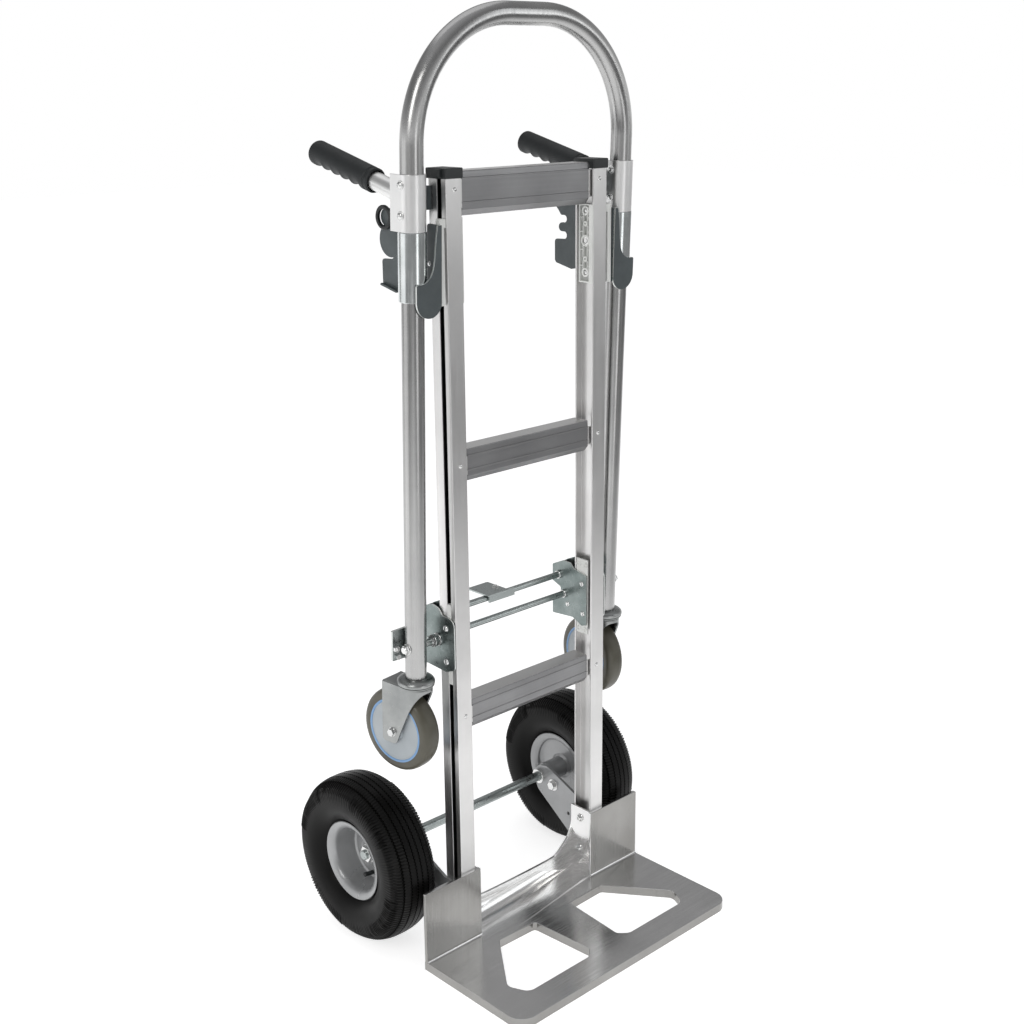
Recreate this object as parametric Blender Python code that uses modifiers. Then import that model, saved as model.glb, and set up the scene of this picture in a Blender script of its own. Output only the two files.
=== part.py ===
"""Convertible hand truck: aluminium rails and nose plate, two pneumatic wheels, and a loop
handle on casters that slides up the rails and swings forward to make a four-wheel platform.

Metres, +Z up. +X is the truck's left-to-right axis seen from the load side, -Y is the load
side (the nose plate points that way) and +Y the side the operator stands on. The origin is on
the floor, midway between the rails, in the plane of the rails' front faces.
"""

from math import cos, hypot, radians, sin, tan

import bmesh
import bpy
from mathutils import Matrix, Vector

GAP = 0.0003                 # left between pieces that touch

# Rails: H section, the web across the middle, a slotted track on the outer side
RAIL_IN, RAIL_OUT = 0.1251, 0.1527
RAIL_DEPTH = 0.037
RAIL_BOTTOM, RAIL_TOP = 0.0145, 1.156
WEB_IN, WEB_OUT = 0.1365, 0.1395
FLANGE = 0.0035
LIP = 0.0025
SLOT_FRONT, SLOT_REAR = 0.0095, 0.018

# Crossbars: channel section, from bottom to top
CROSSBARS = {"lower": (0.355, 0.402), "middle": (0.731, 0.779), "top": (1.0965, 1.1555)}
BAR_FRONT, BAR_REAR = 0.005, 0.033
BAR_WALL = 0.0027
BAR_HALF = 0.1205
BAR_TAB_HALF = 0.135

# Rail caps
CAP_WALL = 0.0015
CAP_SKIRT_BOTTOM, CAP_TOP = 1.147, 1.160

# Nose plate
NOSE_HALF = 0.2286
NOSE_FRONT = -0.208
NOSE_THICK = 0.014
NOSE_CORNER = 0.026
WING_TOP = 0.128
WING_IN = 0.1196
WING_WALL = 0.006
LIP_WALL = 0.005
LIP_EDGE = [(0.1248, 0.128), (0.1246, 0.100), (0.1215, 0.086), (0.112, 0.070), (0.100, 0.0595),
            (0.088, 0.050), (0.077, 0.0455)]     # the rear lip's scooped top edge, x and z
CUT_OUT = [(0.039, -0.039, 0.006), (0.112, -0.037, 0.008), (0.182, -0.130, 0.014),
           (0.168, -0.161, 0.016), (0.044, -0.161, 0.016), (0.030, -0.148, 0.008)]

# Main wheels
WHEEL_X, WHEEL_Y = 0.2194, 0.1452
TYRE_R = 0.130
TYRE_HALF = 0.0422
RIM_R = 0.0625
BEAD_R = 0.0511
HUB_R = 0.0175
HUB_IN = 0.1635              # |x| of the hub's inner end
HUB_OUT = 0.2125             # |x| of the hub's outer end
AXLE_R = 0.0079
AXLE_HALF = 0.2265

# Upper station on the rails
STATION_LOW, STATION_HIGH = 0.982, 1.096
PAD_IN = 0.1279
LATCH_X = 0.1665
LATCH_WALL = 0.003
NOTCH_Y, NOTCH_R = 0.099, 0.0055
NOTCH_Z = (1.0424, 1.0668)
BUMPER_Y, BUMPER_Z, BUMPER_R = 0.107, 1.0925, 0.0165
BUMPER_HALF = 0.0025
CAM_WALL = 0.0012
CAM = (0.098, 1.0625, 0.0235)   # the left plate's cam: y, z, radius

# Carriage: the slide and the hinge that carry the handle frame
SLIDER_LOW, SLIDER_HIGH = 0.4325, 0.555
CARRIAGE_FRONT = 0.0085      # the inner plates' front edge, behind the crossbars' tabs
OUTER_FRONT = 0.0006
INNER_WALL_X, OUTER_WALL_X = 0.12365, 0.15475
WALL = 0.0023
CARRIAGE_REAR = 0.083
ROD_R = 0.0048
ROD_HALF = 0.158
UPPER_ROD = (0.068, 0.5195)  # y, z
LOWER_ROD = (0.0565, 0.4905)
PIVOT = Vector((0.0, 0.037, 0.497))

# Handle frame, in its own frame: origin on the pivot axis, z along the tubes
HANDLE_LEAN = radians(1.965)
TUBE_X, TUBE_R = 0.197, 0.0155
TUBE_WALL = 0.0025
TUBE_FOOT = -0.0455
LOOP_R = 0.163
LOOP_TOP = 0.857
BRACKET_LOW, BRACKET_HIGH = 0.585, 0.658
BRACKET_R = 0.0185
BRACKET_REAR = 0.022
SLEEVE_LOW, SLEEVE_R = 0.4935, 0.019
HOOK_LOW, HOOK_HIGH = 0.4725, 0.593
HOOK_X = 0.167
HOOK_WALL = 0.003
GRIP_BASE = (0.0202, 0.631)  # y, z where the grip tube leaves the loop tube
GRIP_RISE = radians(12.8)
GRIP_TUBE_R, GRIP_R = 0.0125, 0.0168
GRIP_START, GRIP_END = 0.0553, 0.1887

# Casters
CASTER_R, CASTER_HALF = 0.0635, 0.016
CASTER_TRAIL = 0.0285
CASTER_HUB_R = 0.0485
CASTER_DROP = 0.1355         # from the pivot axis down to the wheel's axle
CASTER_TURN = radians(7.7)   # each caster rests turned out from straight back by this much
PLATE_TOP, PLATE_LOW = -0.0458, -0.0578
FORK_TOP = -0.0582
FORK_WALL = 0.0028

SIDES = {"left": -1, "right": 1}

MATERIALS = {
    "aluminium": ((0.66, 0.67, 0.68), 0.32, 1.0),
    "mill_aluminium": ((0.42, 0.42, 0.43), 0.42, 1.0),
    "polished_aluminium": ((0.78, 0.78, 0.79), 0.18, 1.0),
    "zinc": ((0.50, 0.54, 0.54), 0.35, 1.0),
    "dark_steel": ((0.09, 0.11, 0.12), 0.45, 0.6),
    "bright_steel": ((0.75, 0.75, 0.75), 0.2, 1.0),
    "black_plastic": ((0.02, 0.02, 0.022), 0.5, 0.0),
    "nylon": ((0.82, 0.83, 0.81), 0.5, 0.0),
    "grip_rubber": ((0.03, 0.03, 0.033), 0.6, 0.0),
    "tyre_rubber": ((0.015, 0.015, 0.016), 0.7, 0.0),
    "grey_paint": ((0.30, 0.31, 0.32), 0.4, 0.3),
    "caster_rubber": ((0.16, 0.15, 0.13), 0.6, 0.0),
    "caster_hub": ((0.62, 0.66, 0.72), 0.45, 0.0),
}


# ---------------------------------------------------------------- scene and materials
def start():
    for obj in list(bpy.data.objects):
        bpy.data.objects.remove(obj)
    made = {}
    for name, hidden in (("convertible_hand_truck", False), ("cutters", True)):
        made[name] = bpy.data.collections.new(name)
        made[name].hide_render = hidden
        bpy.context.scene.collection.children.link(made[name])
    return made["convertible_hand_truck"], made["cutters"]


PARTS, CUTTERS = start()


def material(name):
    found = bpy.data.materials.get(name)
    if found:
        return found
    colour, roughness, metallic = MATERIALS[name]
    made = bpy.data.materials.new(name)
    made.use_nodes = True
    shader = made.node_tree.nodes["Principled BSDF"]
    shader.inputs["Base Color"].default_value = (*colour, 1.0)
    shader.inputs["Roughness"].default_value = roughness
    shader.inputs["Metallic"].default_value = metallic
    made.diffuse_color = (*colour, 1.0)
    return made


def place(name, data, finish, parent=None, matrix=None):
    obj = bpy.data.objects.new(name, data)
    PARTS.objects.link(obj)
    data.materials.clear()
    data.materials.append(material(finish))
    obj.parent = parent
    if matrix is not None:
        obj.matrix_local = matrix
    return obj


def empty(name, location, rotation=(0.0, 0.0, 0.0), parent=None):
    obj = bpy.data.objects.new(name, None)
    PARTS.objects.link(obj)
    obj.empty_display_size = 0.03
    obj.location = location
    obj.rotation_euler = rotation
    obj.parent = parent
    return obj


# ---------------------------------------------------------------- shapes
def box(name, xs, ys, zs, finish, parent=None, bevel=0.0):
    """A box between two x, two y and two z values, in its parent's frame."""
    shape = bmesh.new()
    bmesh.ops.create_cube(shape, size=1.0)
    size = Vector((abs(xs[1] - xs[0]), abs(ys[1] - ys[0]), abs(zs[1] - zs[0])))
    bmesh.ops.scale(shape, vec=size, verts=shape.verts)
    mesh = bpy.data.meshes.new(name)
    shape.to_mesh(mesh)
    shape.free()
    centre = Vector((sum(xs) / 2, sum(ys) / 2, sum(zs) / 2))
    obj = place(name, mesh, finish, parent, Matrix.Translation(centre))
    if bevel:
        add_bevel(obj, bevel)
    return obj


def add_bevel(obj, width, segments=2):
    edge = obj.modifiers.new("rounded_edges", "BEVEL")
    edge.width = width
    edge.segments = segments
    edge.limit_method = "ANGLE"
    edge.angle_limit = radians(50)


def along(axis):
    """The rotation that turns local +Z onto a direction."""
    return Vector((0, 0, 1)).rotation_difference(Vector(axis).normalized()).to_matrix().to_4x4()


def rod(name, start_point, end_point, radius, finish, parent=None, sides=20):
    """A cylinder between two points."""
    start_point, end_point = Vector(start_point), Vector(end_point)
    shape = bmesh.new()
    bmesh.ops.create_cone(shape, cap_ends=True, segments=sides, radius1=radius, radius2=radius,
                          depth=(end_point - start_point).length)
    mesh = bpy.data.meshes.new(name)
    shape.to_mesh(mesh)
    shape.free()
    smooth(mesh)
    middle = Matrix.Translation((start_point + end_point) / 2)
    return place(name, mesh, finish, parent, middle @ along(end_point - start_point))


def smooth(mesh):
    mesh.shade_smooth()
    mesh.set_sharp_from_angle(angle=radians(35))


def arc(centre, radius, start_angle, end_angle, steps=6):
    """Points of an arc, from one angle in degrees to another."""
    found = []
    for step in range(steps + 1):
        angle = radians(start_angle + (end_angle - start_angle) * step / steps)
        found.append((centre[0] + radius * cos(angle), centre[1] + radius * sin(angle)))
    return found


def rounded(corners, steps=4):
    """An outline from (x, y, radius) corners, each corner rounded to its radius."""
    outline = []
    count = len(corners)
    for index, corner in enumerate(corners):
        here = Vector(corner[:2])
        radius = corner[2] if len(corner) > 2 else 0.0
        if radius == 0.0:
            outline.append(tuple(here))
            continue
        to_last = (Vector(corners[index - 1][:2]) - here).normalized()
        to_next = (Vector(corners[(index + 1) % count][:2]) - here).normalized()
        half = to_last.angle(to_next) / 2
        reach = radius / tan(half)
        centre = here + (to_last + to_next).normalized() * hypot(reach, radius)
        first = here + to_last * reach - centre
        last = here + to_next * reach - centre
        turn = first.angle_signed(last)
        for step in range(steps + 1):
            spun = Matrix.Rotation(-turn * step / steps, 2) @ first
            outline.append(tuple(centre + spun))
    return outline


FACING = {
    "x": Matrix(((0, 0, 1, 0), (1, 0, 0, 0), (0, 1, 0, 0), (0, 0, 0, 1))),
    "y": Matrix(((1, 0, 0, 0), (0, 0, -1, 0), (0, 1, 0, 0), (0, 0, 0, 1))),
    "z": Matrix.Identity(4),
}


def plate(name, outline, facing, middle, thickness, finish, parent=None, holes=()):
    """A flat outline with holes, extruded along one axis. The outline's two numbers are the
    other two axes in their order: (y, z) facing x, (x, z) facing y, (x, y) facing z."""
    curve = bpy.data.curves.new(name, "CURVE")
    curve.dimensions = "2D"
    curve.fill_mode = "BOTH"
    curve.extrude = thickness / 2
    for points in (outline, *holes):
        spline = curve.splines.new("POLY")
        spline.points.add(len(points) - 1)
        spline.use_cyclic_u = True
        for point, (u, v) in zip(spline.points, points):
            point.co = (u, v, 0.0, 1.0)
    shift = Vector([middle if axis == facing else 0.0 for axis in "xyz"])
    return place(name, curve, finish, parent, Matrix.Translation(shift) @ FACING[facing])


def circle(centre, radius, sides=20):
    return arc(centre, radius, 0, 360 - 360 / sides, sides - 1)


def as_mesh(curve_object):
    """The curve object as a welded mesh object with the same name and place."""
    bpy.context.view_layer.update()
    graph = bpy.context.evaluated_depsgraph_get()
    mesh = bpy.data.meshes.new_from_object(curve_object.evaluated_get(graph))
    shape = bmesh.new()
    shape.from_mesh(mesh)
    bmesh.ops.remove_doubles(shape, verts=shape.verts, dist=1e-6)
    bmesh.ops.recalc_face_normals(shape, faces=shape.faces)
    shape.to_mesh(mesh)
    shape.free()
    name, parent = curve_object.name, curve_object.parent
    world = curve_object.matrix_world.copy()
    finish = curve_object.data.materials[0].name
    bpy.data.objects.remove(curve_object)
    obj = place(name, mesh, finish, parent)
    obj.matrix_world = world
    return obj


def combine(obj, others, operation):
    """Booleans the others into obj, and moves them among the cutters."""
    if obj.type == "CURVE":
        obj = as_mesh(obj)
    for other in others:
        if other.type == "CURVE":
            other = as_mesh(other)
        step = obj.modifiers.new(operation.lower(), "BOOLEAN")
        step.operation = operation
        step.object = other
        PARTS.objects.unlink(other)
        CUTTERS.objects.link(other)
        other.hide_render = True
        other.display_type = "WIRE"
    return obj


def turned(name, profile, finish, centre, axis, parent=None, steps=36):
    """A solid of revolution from (radius, height) points that run down its outer side and
    back up its inner side. Height runs along the axis."""
    mesh = bpy.data.meshes.new(name)
    points = [(radius, 0.0, height) for radius, height in profile]
    edges = [(index, (index + 1) % len(points)) for index in range(len(points))]
    mesh.from_pydata(points, edges, [])
    obj = place(name, mesh, finish, parent, Matrix.Translation(Vector(centre)) @ along(axis))
    spin = obj.modifiers.new("turned", "SCREW")
    spin.steps = steps
    spin.render_steps = steps
    spin.use_merge_vertices = True
    spin.merge_threshold = 1e-6
    spin.use_smooth_shade = True
    return obj


def tube(name, points, radius, finish, parent=None, sides=4):
    curve = bpy.data.curves.new(name, "CURVE")
    curve.dimensions = "3D"
    curve.bevel_depth = radius
    curve.bevel_resolution = sides
    curve.use_fill_caps = True
    spline = curve.splines.new("POLY")
    spline.points.add(len(points) - 1)
    for point, place_at in zip(spline.points, points):
        point.co = (*place_at, 1.0)
    return place(name, curve, finish, parent)


def span(sign, near, far):
    """Two |x| values on one side of the truck, as an x range."""
    return (sign * near, sign * far)


# ---------------------------------------------------------------- frame
def rails():
    section = [
        (RAIL_IN, 0), (RAIL_OUT, 0), (RAIL_OUT, SLOT_FRONT), (RAIL_OUT - LIP, SLOT_FRONT),
        (RAIL_OUT - LIP, FLANGE), (WEB_OUT, FLANGE), (WEB_OUT, RAIL_DEPTH - FLANGE),
        (RAIL_OUT - LIP, RAIL_DEPTH - FLANGE), (RAIL_OUT - LIP, SLOT_REAR),
        (RAIL_OUT, SLOT_REAR), (RAIL_OUT, RAIL_DEPTH), (RAIL_IN, RAIL_DEPTH),
        (RAIL_IN, RAIL_DEPTH - FLANGE), (WEB_IN, RAIL_DEPTH - FLANGE), (WEB_IN, FLANGE),
        (RAIL_IN, FLANGE),
    ]
    for side, sign in SIDES.items():
        outline = [(sign * x, y) for x, y in section]
        plate(side + "_rail", outline, "z", (RAIL_BOTTOM + RAIL_TOP) / 2,
              RAIL_TOP - RAIL_BOTTOM, "aluminium")
        cap = box(side + "_rail_cap", span(sign, RAIL_IN - GAP - CAP_WALL, RAIL_OUT + GAP + CAP_WALL),
                  (-GAP - CAP_WALL, RAIL_DEPTH + GAP + CAP_WALL), (CAP_SKIRT_BOTTOM, CAP_TOP),
                  "black_plastic")
        hollow = box(side + "_cap_hollow", span(sign, RAIL_IN - GAP, RAIL_OUT + GAP),
                     (-GAP, RAIL_DEPTH + GAP), (CAP_SKIRT_BOTTOM - 0.01, RAIL_TOP + GAP),
                     "black_plastic")
        combine(cap, [hollow], "DIFFERENCE")


def crossbars():
    for level, (low, high) in CROSSBARS.items():
        front = box(level + "_crossbar", (-BAR_HALF, BAR_HALF), (BAR_FRONT, BAR_FRONT + BAR_WALL),
                    (low, high), "mill_aluminium")
        inset = 0.0105
        tabs = box(level + "_tabs", (-BAR_TAB_HALF, BAR_TAB_HALF),
                   (BAR_FRONT, BAR_FRONT + BAR_WALL), (low + inset, high - inset), "mill_aluminium")
        lips = [
            box(level + "_lip_" + str(index), (-BAR_HALF, BAR_HALF),
                (BAR_FRONT + BAR_WALL / 2, BAR_REAR), edge, "mill_aluminium")
            for index, edge in enumerate(((low, low + BAR_WALL), (high - BAR_WALL, high)))
        ]
        combine(front, [tabs, *lips], "UNION")


def nose_plate():
    foot = [(-NOSE_HALF, 0.0), (-NOSE_HALF, NOSE_FRONT, NOSE_CORNER),
            (NOSE_HALF, NOSE_FRONT, NOSE_CORNER), (NOSE_HALF, 0.0),
            (RAIL_IN - GAP, 0.0), (RAIL_IN - GAP, RAIL_DEPTH + LIP_WALL),
            (-RAIL_IN + GAP, RAIL_DEPTH + LIP_WALL), (-RAIL_IN + GAP, 0.0)]
    openings = []
    for sign in (-1, 1):
        openings.append(rounded([(sign * x, y, r) for x, y, r in CUT_OUT]))
    base = plate("nose_plate", rounded(foot), "z", NOSE_THICK / 2, NOSE_THICK,
                 "polished_aluminium", holes=openings)
    pieces = []
    sink = NOSE_THICK / 2
    for side, sign in SIDES.items():
        pieces.append(box(side + "_wing", span(sign, WING_IN, NOSE_HALF), (-WING_WALL, -GAP),
                          (sink, WING_TOP), "polished_aluminium"))
        pieces.append(box(side + "_flange", span(sign, RAIL_IN - GAP - 0.0035, RAIL_IN - GAP),
                          (-WING_WALL / 2, RAIL_DEPTH + LIP_WALL), (sink, WING_TOP),
                          "polished_aluminium"))
    left_edge = [(-x, z) for x, z in reversed(LIP_EDGE)]
    foot_edge = [(-LIP_EDGE[0][0], sink), (LIP_EDGE[0][0], sink)]
    rear = foot_edge + LIP_EDGE + left_edge
    pieces.append(plate("rear_lip", rear, "y", RAIL_DEPTH + LIP_WALL / 2, LIP_WALL - 2 * GAP,
                        "polished_aluminium"))
    combine(base, pieces, "UNION")
    for side, sign in SIDES.items():
        face = sign * (RAIL_IN - 2 * GAP - 0.0035)
        rod(side + "_nose_bolt", (face, 0.0196, 0.110), (face - sign * 0.0045, 0.0196, 0.110),
            0.006, "bright_steel", sides=12)


def axle_and_brackets():
    outline = rounded([(0.006, 0.018, 0.004), (0.034, 0.018, 0.004), (0.152, 0.104, 0.02),
                       (0.166, 0.146, 0.022), (0.128, 0.152, 0.018), (0.034, 0.112, 0.004),
                       (0.006, 0.112, 0.004)])
    for side, sign in SIDES.items():
        plate(side + "_axle_bracket", outline, "x", sign * (RAIL_OUT + GAP + 0.0025), 0.005,
              "grey_paint", holes=[circle((WHEEL_Y, TYRE_R), AXLE_R + GAP),
                                   circle((0.078, 0.083), 0.003, 12)])
    rod("axle", (-AXLE_HALF, WHEEL_Y, TYRE_R), (AXLE_HALF, WHEEL_Y, TYRE_R), AXLE_R, "zinc")
    for side, sign in SIDES.items():
        middle = sign * (HUB_OUT + 0.0051)
        plate(side + "_axle_nut", circle((WHEEL_Y, TYRE_R), 0.0135, 6), "x", middle, 0.009,
              "bright_steel", holes=[circle((WHEEL_Y, TYRE_R), AXLE_R + GAP)])


def upper_station():
    """The guide pads on each rail, and the notched plate behind them."""
    for side, sign in SIDES.items():
        box(side + "_inner_guide_pad", span(sign, PAD_IN, WEB_IN - GAP),
            (0.0045, 0.0325), (STATION_LOW, STATION_HIGH), "nylon")
        block = box(side + "_outer_guide_block", span(sign, 0.1564, 0.1637), (0.0005, 0.0094),
                    (STATION_LOW, STATION_HIGH), "nylon")
        foot = box(side + "_guide_foot", span(sign, RAIL_OUT + GAP, 0.1570), (0.0010, 0.0090),
                   (1.084, STATION_HIGH - 0.0004), "nylon")
        combine(block, [foot], "UNION")
        latch_plate(side, sign)
        ring = [(BUMPER_R, BUMPER_HALF), (BUMPER_R, -BUMPER_HALF), (0.0115, -BUMPER_HALF),
                (0.0115, BUMPER_HALF)]
        turned(side + "_bumper", ring, "black_plastic",
               (sign * (LATCH_X + LATCH_WALL / 2 + CAM_WALL + GAP + BUMPER_HALF), BUMPER_Y,
                BUMPER_Z),
               (1, 0, 0), steps=20)


def latch_plate(side, sign):
    tip = NOTCH_Y + 0.006
    low, high = NOTCH_Z
    outline = [(0.026, 1.103), (0.026, 1.140), (0.044, 1.140), (0.075, 1.112)]
    outline += arc((BUMPER_Y, BUMPER_Z), 0.012, 110, -60, 6)
    outline += [(tip, high + NOTCH_R)]
    outline += arc((NOTCH_Y, high), NOTCH_R, 90, 270, 6)
    outline += [(tip - 0.002, high - NOTCH_R), (tip, (low + high) / 2), (tip - 0.002, low + NOTCH_R)]
    outline += arc((NOTCH_Y, low), NOTCH_R, 90, 270, 6)
    outline += [(0.1150, low - NOTCH_R - 0.004), (0.1190, low - NOTCH_R - 0.008),
                (0.1190, 1.0027), (0.0815, 0.994), (0.057, 0.996), (0.055, 1.090), (0.044, 1.103)]
    obj = plate(side + "_latch_plate", outline, "x", sign * LATCH_X, LATCH_WALL, "dark_steel")
    bottom = box(side + "_latch_flange", span(sign, LATCH_X - 0.001, LATCH_X + 0.0075),
                 (0.083, 0.1180), (0.9965, 0.9995), "dark_steel")
    bottom.rotation_euler = (radians(13), 0.0, 0.0)
    spacer = box(side + "_latch_spacer", span(sign, RAIL_OUT + GAP, LATCH_X),
                 (0.028, 0.036), (1.106, 1.137), "dark_steel")
    pieces = [bottom, spacer]
    if side == "left":
        y, z, radius = CAM
        middle = sign * (LATCH_X + LATCH_WALL / 2 + CAM_WALL / 2 - 0.0002)
        pieces.append(plate("latch_cam", circle((y, z), radius, 28), "x", middle,
                            CAM_WALL + 0.0004, "dark_steel"))
    combine(obj, pieces, "UNION")


# ---------------------------------------------------------------- wheels
def main_wheels():
    side_wall = [(0.0640, 0.0263), (0.0700, 0.0345), (0.0830, 0.0408), (0.0980, TYRE_HALF),
                 (0.1120, 0.0405), (0.1215, 0.0355), (0.1275, 0.0250), (TYRE_R, 0.0)]
    lower = [(radius, -height) for radius, height in reversed(side_wall[:-1])]
    bead = [(0.0536, 0.0251), (BEAD_R + GAP, 0.0229), (BEAD_R + GAP, 0.0170), (0.0620, 0.0190),
            (0.0760, 0.0300), (0.0980, 0.0355), (0.1120, 0.0310), (0.1210, 0.0180), (0.1220, 0.0)]
    inner = [(radius, -height) for radius, height in bead] + list(reversed(bead[:-1]))
    tyre = side_wall + lower + inner
    for side, sign in SIDES.items():
        turned(side + "_tyre", tyre, "tyre_rubber", (sign * WHEEL_X, WHEEL_Y, TYRE_R), (1, 0, 0),
               steps=40)
        hub_far, hub_near = HUB_OUT - WHEEL_X, HUB_IN - WHEEL_X
        bore = AXLE_R + 0.0004
        rim = [(RIM_R, 0.0300), (RIM_R, 0.0275), (0.0535, 0.0255), (BEAD_R, 0.0235),
               (BEAD_R, -0.0235), (0.0535, -0.0255), (RIM_R, -0.0275), (RIM_R, -0.0300),
               (0.0500, -0.0290), (0.0470, -0.0240), (0.0440, -0.0180), (HUB_R, -0.0160),
               (HUB_R, hub_near), (bore, hub_near), (bore, hub_far), (HUB_R, hub_far),
               (HUB_R, -0.0125), (0.0440, -0.0145), (0.0475, 0.0200), (0.0500, 0.0290)]
        facing = (sign, 0, 0)
        turned(side + "_rim", rim, "grey_paint", (sign * WHEEL_X, WHEEL_Y, TYRE_R), facing)


# ---------------------------------------------------------------- carriage
def carriage():
    inner_outline = [(CARRIAGE_FRONT, 0.530), (0.0364, 0.536), (0.0430, 0.5435), (0.0595, 0.5445),
                     (CARRIAGE_REAR, 0.5335), (CARRIAGE_REAR, 0.506), (0.0650, 0.499),
                     (0.0650, 0.488), (CARRIAGE_REAR, 0.480), (CARRIAGE_REAR, 0.4515),
                     (0.0386, 0.455), (0.0187, 0.4455), (CARRIAGE_FRONT, 0.449)]
    outer_outline = rounded([(OUTER_FRONT, 0.5345, 0.012), (0.0258, 0.5355, 0.003),
                             (0.0350, 0.5455, 0.003), (0.0475, 0.5480, 0.003), (0.0606, 0.5435, 0.003),
                             (CARRIAGE_REAR, 0.5335), (CARRIAGE_REAR, 0.4515), (0.0604, 0.4530, 0.004),
                             (0.0201, 0.4505, 0.006), (OUTER_FRONT, 0.4585, 0.006)])
    for side, sign in SIDES.items():
        rod_holes = [circle(UPPER_ROD, ROD_R + GAP), circle(LOWER_ROD, ROD_R + GAP)]
        inner = plate(side + "_hinge_bracket", inner_outline, "x", sign * INNER_WALL_X, WALL,
                      "zinc", holes=rod_holes)
        outer = plate(side + "_outer_wall", outer_outline, "x", sign * OUTER_WALL_X, WALL, "zinc",
                      holes=rod_holes)
        near, far = INNER_WALL_X - WALL / 2, OUTER_WALL_X + WALL / 2
        bridges = [
            box(side + "_bridge_" + str(index), span(sign, near + 0.0004, far - 0.0004),
                (CARRIAGE_REAR - 0.0027, CARRIAGE_REAR - 0.0002), levels, "zinc")
            for index, levels in enumerate(((0.507, 0.533), (0.453, 0.479)))
        ]
        combine(inner, [outer, *bridges], "UNION")
        box(side + "_inner_slider", span(sign, INNER_WALL_X + WALL / 2 + GAP, PAD_IN - GAP),
            (CARRIAGE_FRONT, 0.0325), (SLIDER_LOW, SLIDER_HIGH), "nylon")
        box(side + "_outer_slider", span(sign, WEB_OUT + GAP, OUTER_WALL_X - WALL / 2 - GAP),
            (SLOT_FRONT + 0.0004, SLOT_REAR - 0.0004), (SLIDER_LOW, SLIDER_HIGH), "nylon")
        pivot_stud(side, sign)
    rod("lower_rod", (-ROD_HALF, *LOWER_ROD), (ROD_HALF, *LOWER_ROD), ROD_R, "zinc", sides=16)


def pivot_stud(side, sign):
    """The stud that the handle frame turns on, with its washer and spacer nut."""
    face = OUTER_WALL_X + WALL / 2 + GAP
    shank, nut, washer = 0.0055, 0.0085, 0.0098
    end = TUBE_X + TUBE_R + 0.0075
    far_nut = TUBE_X + TUBE_R + 0.0006
    steps = [(washer, face), (washer, face + 0.002), (nut, face + 0.002), (nut, face + 0.0120),
             (washer, face + 0.0120), (washer, face + 0.0140), (shank, face + 0.0140),
             (shank, end), (0.0, end), (0.0, face)]
    turned(side + "_pivot_stud", list(reversed(steps)), "bright_steel", (0, PIVOT.y, PIVOT.z),
           (sign, 0, 0), steps=18)


def release():
    """The rod that the foot turns, with the pedal clamped on it."""
    y, z = UPPER_ROD
    turning = empty("release_axis", (0.0, y, z))
    rod("release_rod", (-ROD_HALF, 0, 0), (ROD_HALF, 0, 0), ROD_R, "zinc", turning, sides=16)
    reach = ROD_R + GAP
    tread = box("release_pedal", (-0.038, 0.004), (-0.010, 0.038), (reach, reach + 0.0025),
                "zinc", turning, bevel=0.0006)
    front = box("pedal_clamp", (-0.034, 0.018), (-0.0085, -reach), (-0.0055, reach + 0.002),
                "zinc", turning)
    combine(tread, [front], "UNION")
    rod("pedal_bolt", (-0.006, 0.009, -0.010), (-0.006, 0.009, reach - GAP), 0.003, "bright_steel",
        turning, sides=10)


# ---------------------------------------------------------------- handle frame
def handle():
    pivot = empty("handle_pivot", PIVOT, (HANDLE_LEAN, 0.0, 0.0))
    flat = TUBE_X - LOOP_R
    centre = LOOP_TOP - LOOP_R
    path = [(-TUBE_X, 0.0, TUBE_FOOT)]
    path += [(x, 0.0, z) for x, z in arc((-flat, centre), LOOP_R, 180, 90, 12)]
    path += [(x, 0.0, z) for x, z in arc((flat, centre), LOOP_R, 90, 0, 12)]
    path += [(TUBE_X, 0.0, TUBE_FOOT)]
    loop = tube("handle_tube", path, TUBE_R, "aluminium", pivot, sides=4)
    open_ended = [(-TUBE_X, 0.0, TUBE_FOOT - 0.01), *path[1:-1], (TUBE_X, 0.0, TUBE_FOOT - 0.01)]
    inside = tube("handle_bore", open_ended, TUBE_R - TUBE_WALL, "aluminium", pivot, sides=3)
    bores = [rod(side + "_bore", (sign * (TUBE_X - 0.03), 0, 0), (sign * (TUBE_X + 0.03), 0, 0),
                 0.0060, "aluminium", pivot, sides=16) for side, sign in SIDES.items()]
    combine(loop, [inside, *bores], "DIFFERENCE")
    for side, sign in SIDES.items():
        handle_bracket(side, sign, pivot)
        grip(side, sign, pivot)
        sleeve(side, sign, pivot)
        hook_plate(side, sign, pivot)
        pivot_block(side, sign, pivot)
        caster(side, sign, pivot)


def handle_bracket(side, sign, pivot):
    """A channel wrapped round the front of the tube, its legs reaching back to the grip."""
    inner = TUBE_R + GAP
    outline = [(BRACKET_R, BRACKET_REAR)]
    outline += arc((0, 0), BRACKET_R, 0, -180, 12)
    outline += [(-BRACKET_R, BRACKET_REAR), (-inner, BRACKET_REAR)]
    outline += arc((0, 0), inner, 180, 360, 12)
    outline += [(inner, BRACKET_REAR)]
    shifted = [(sign * TUBE_X + x, y) for x, y in outline]
    plate(side + "_handle_bracket", shifted, "z", (BRACKET_LOW + BRACKET_HIGH) / 2,
          BRACKET_HIGH - BRACKET_LOW, "aluminium", pivot)


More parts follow.
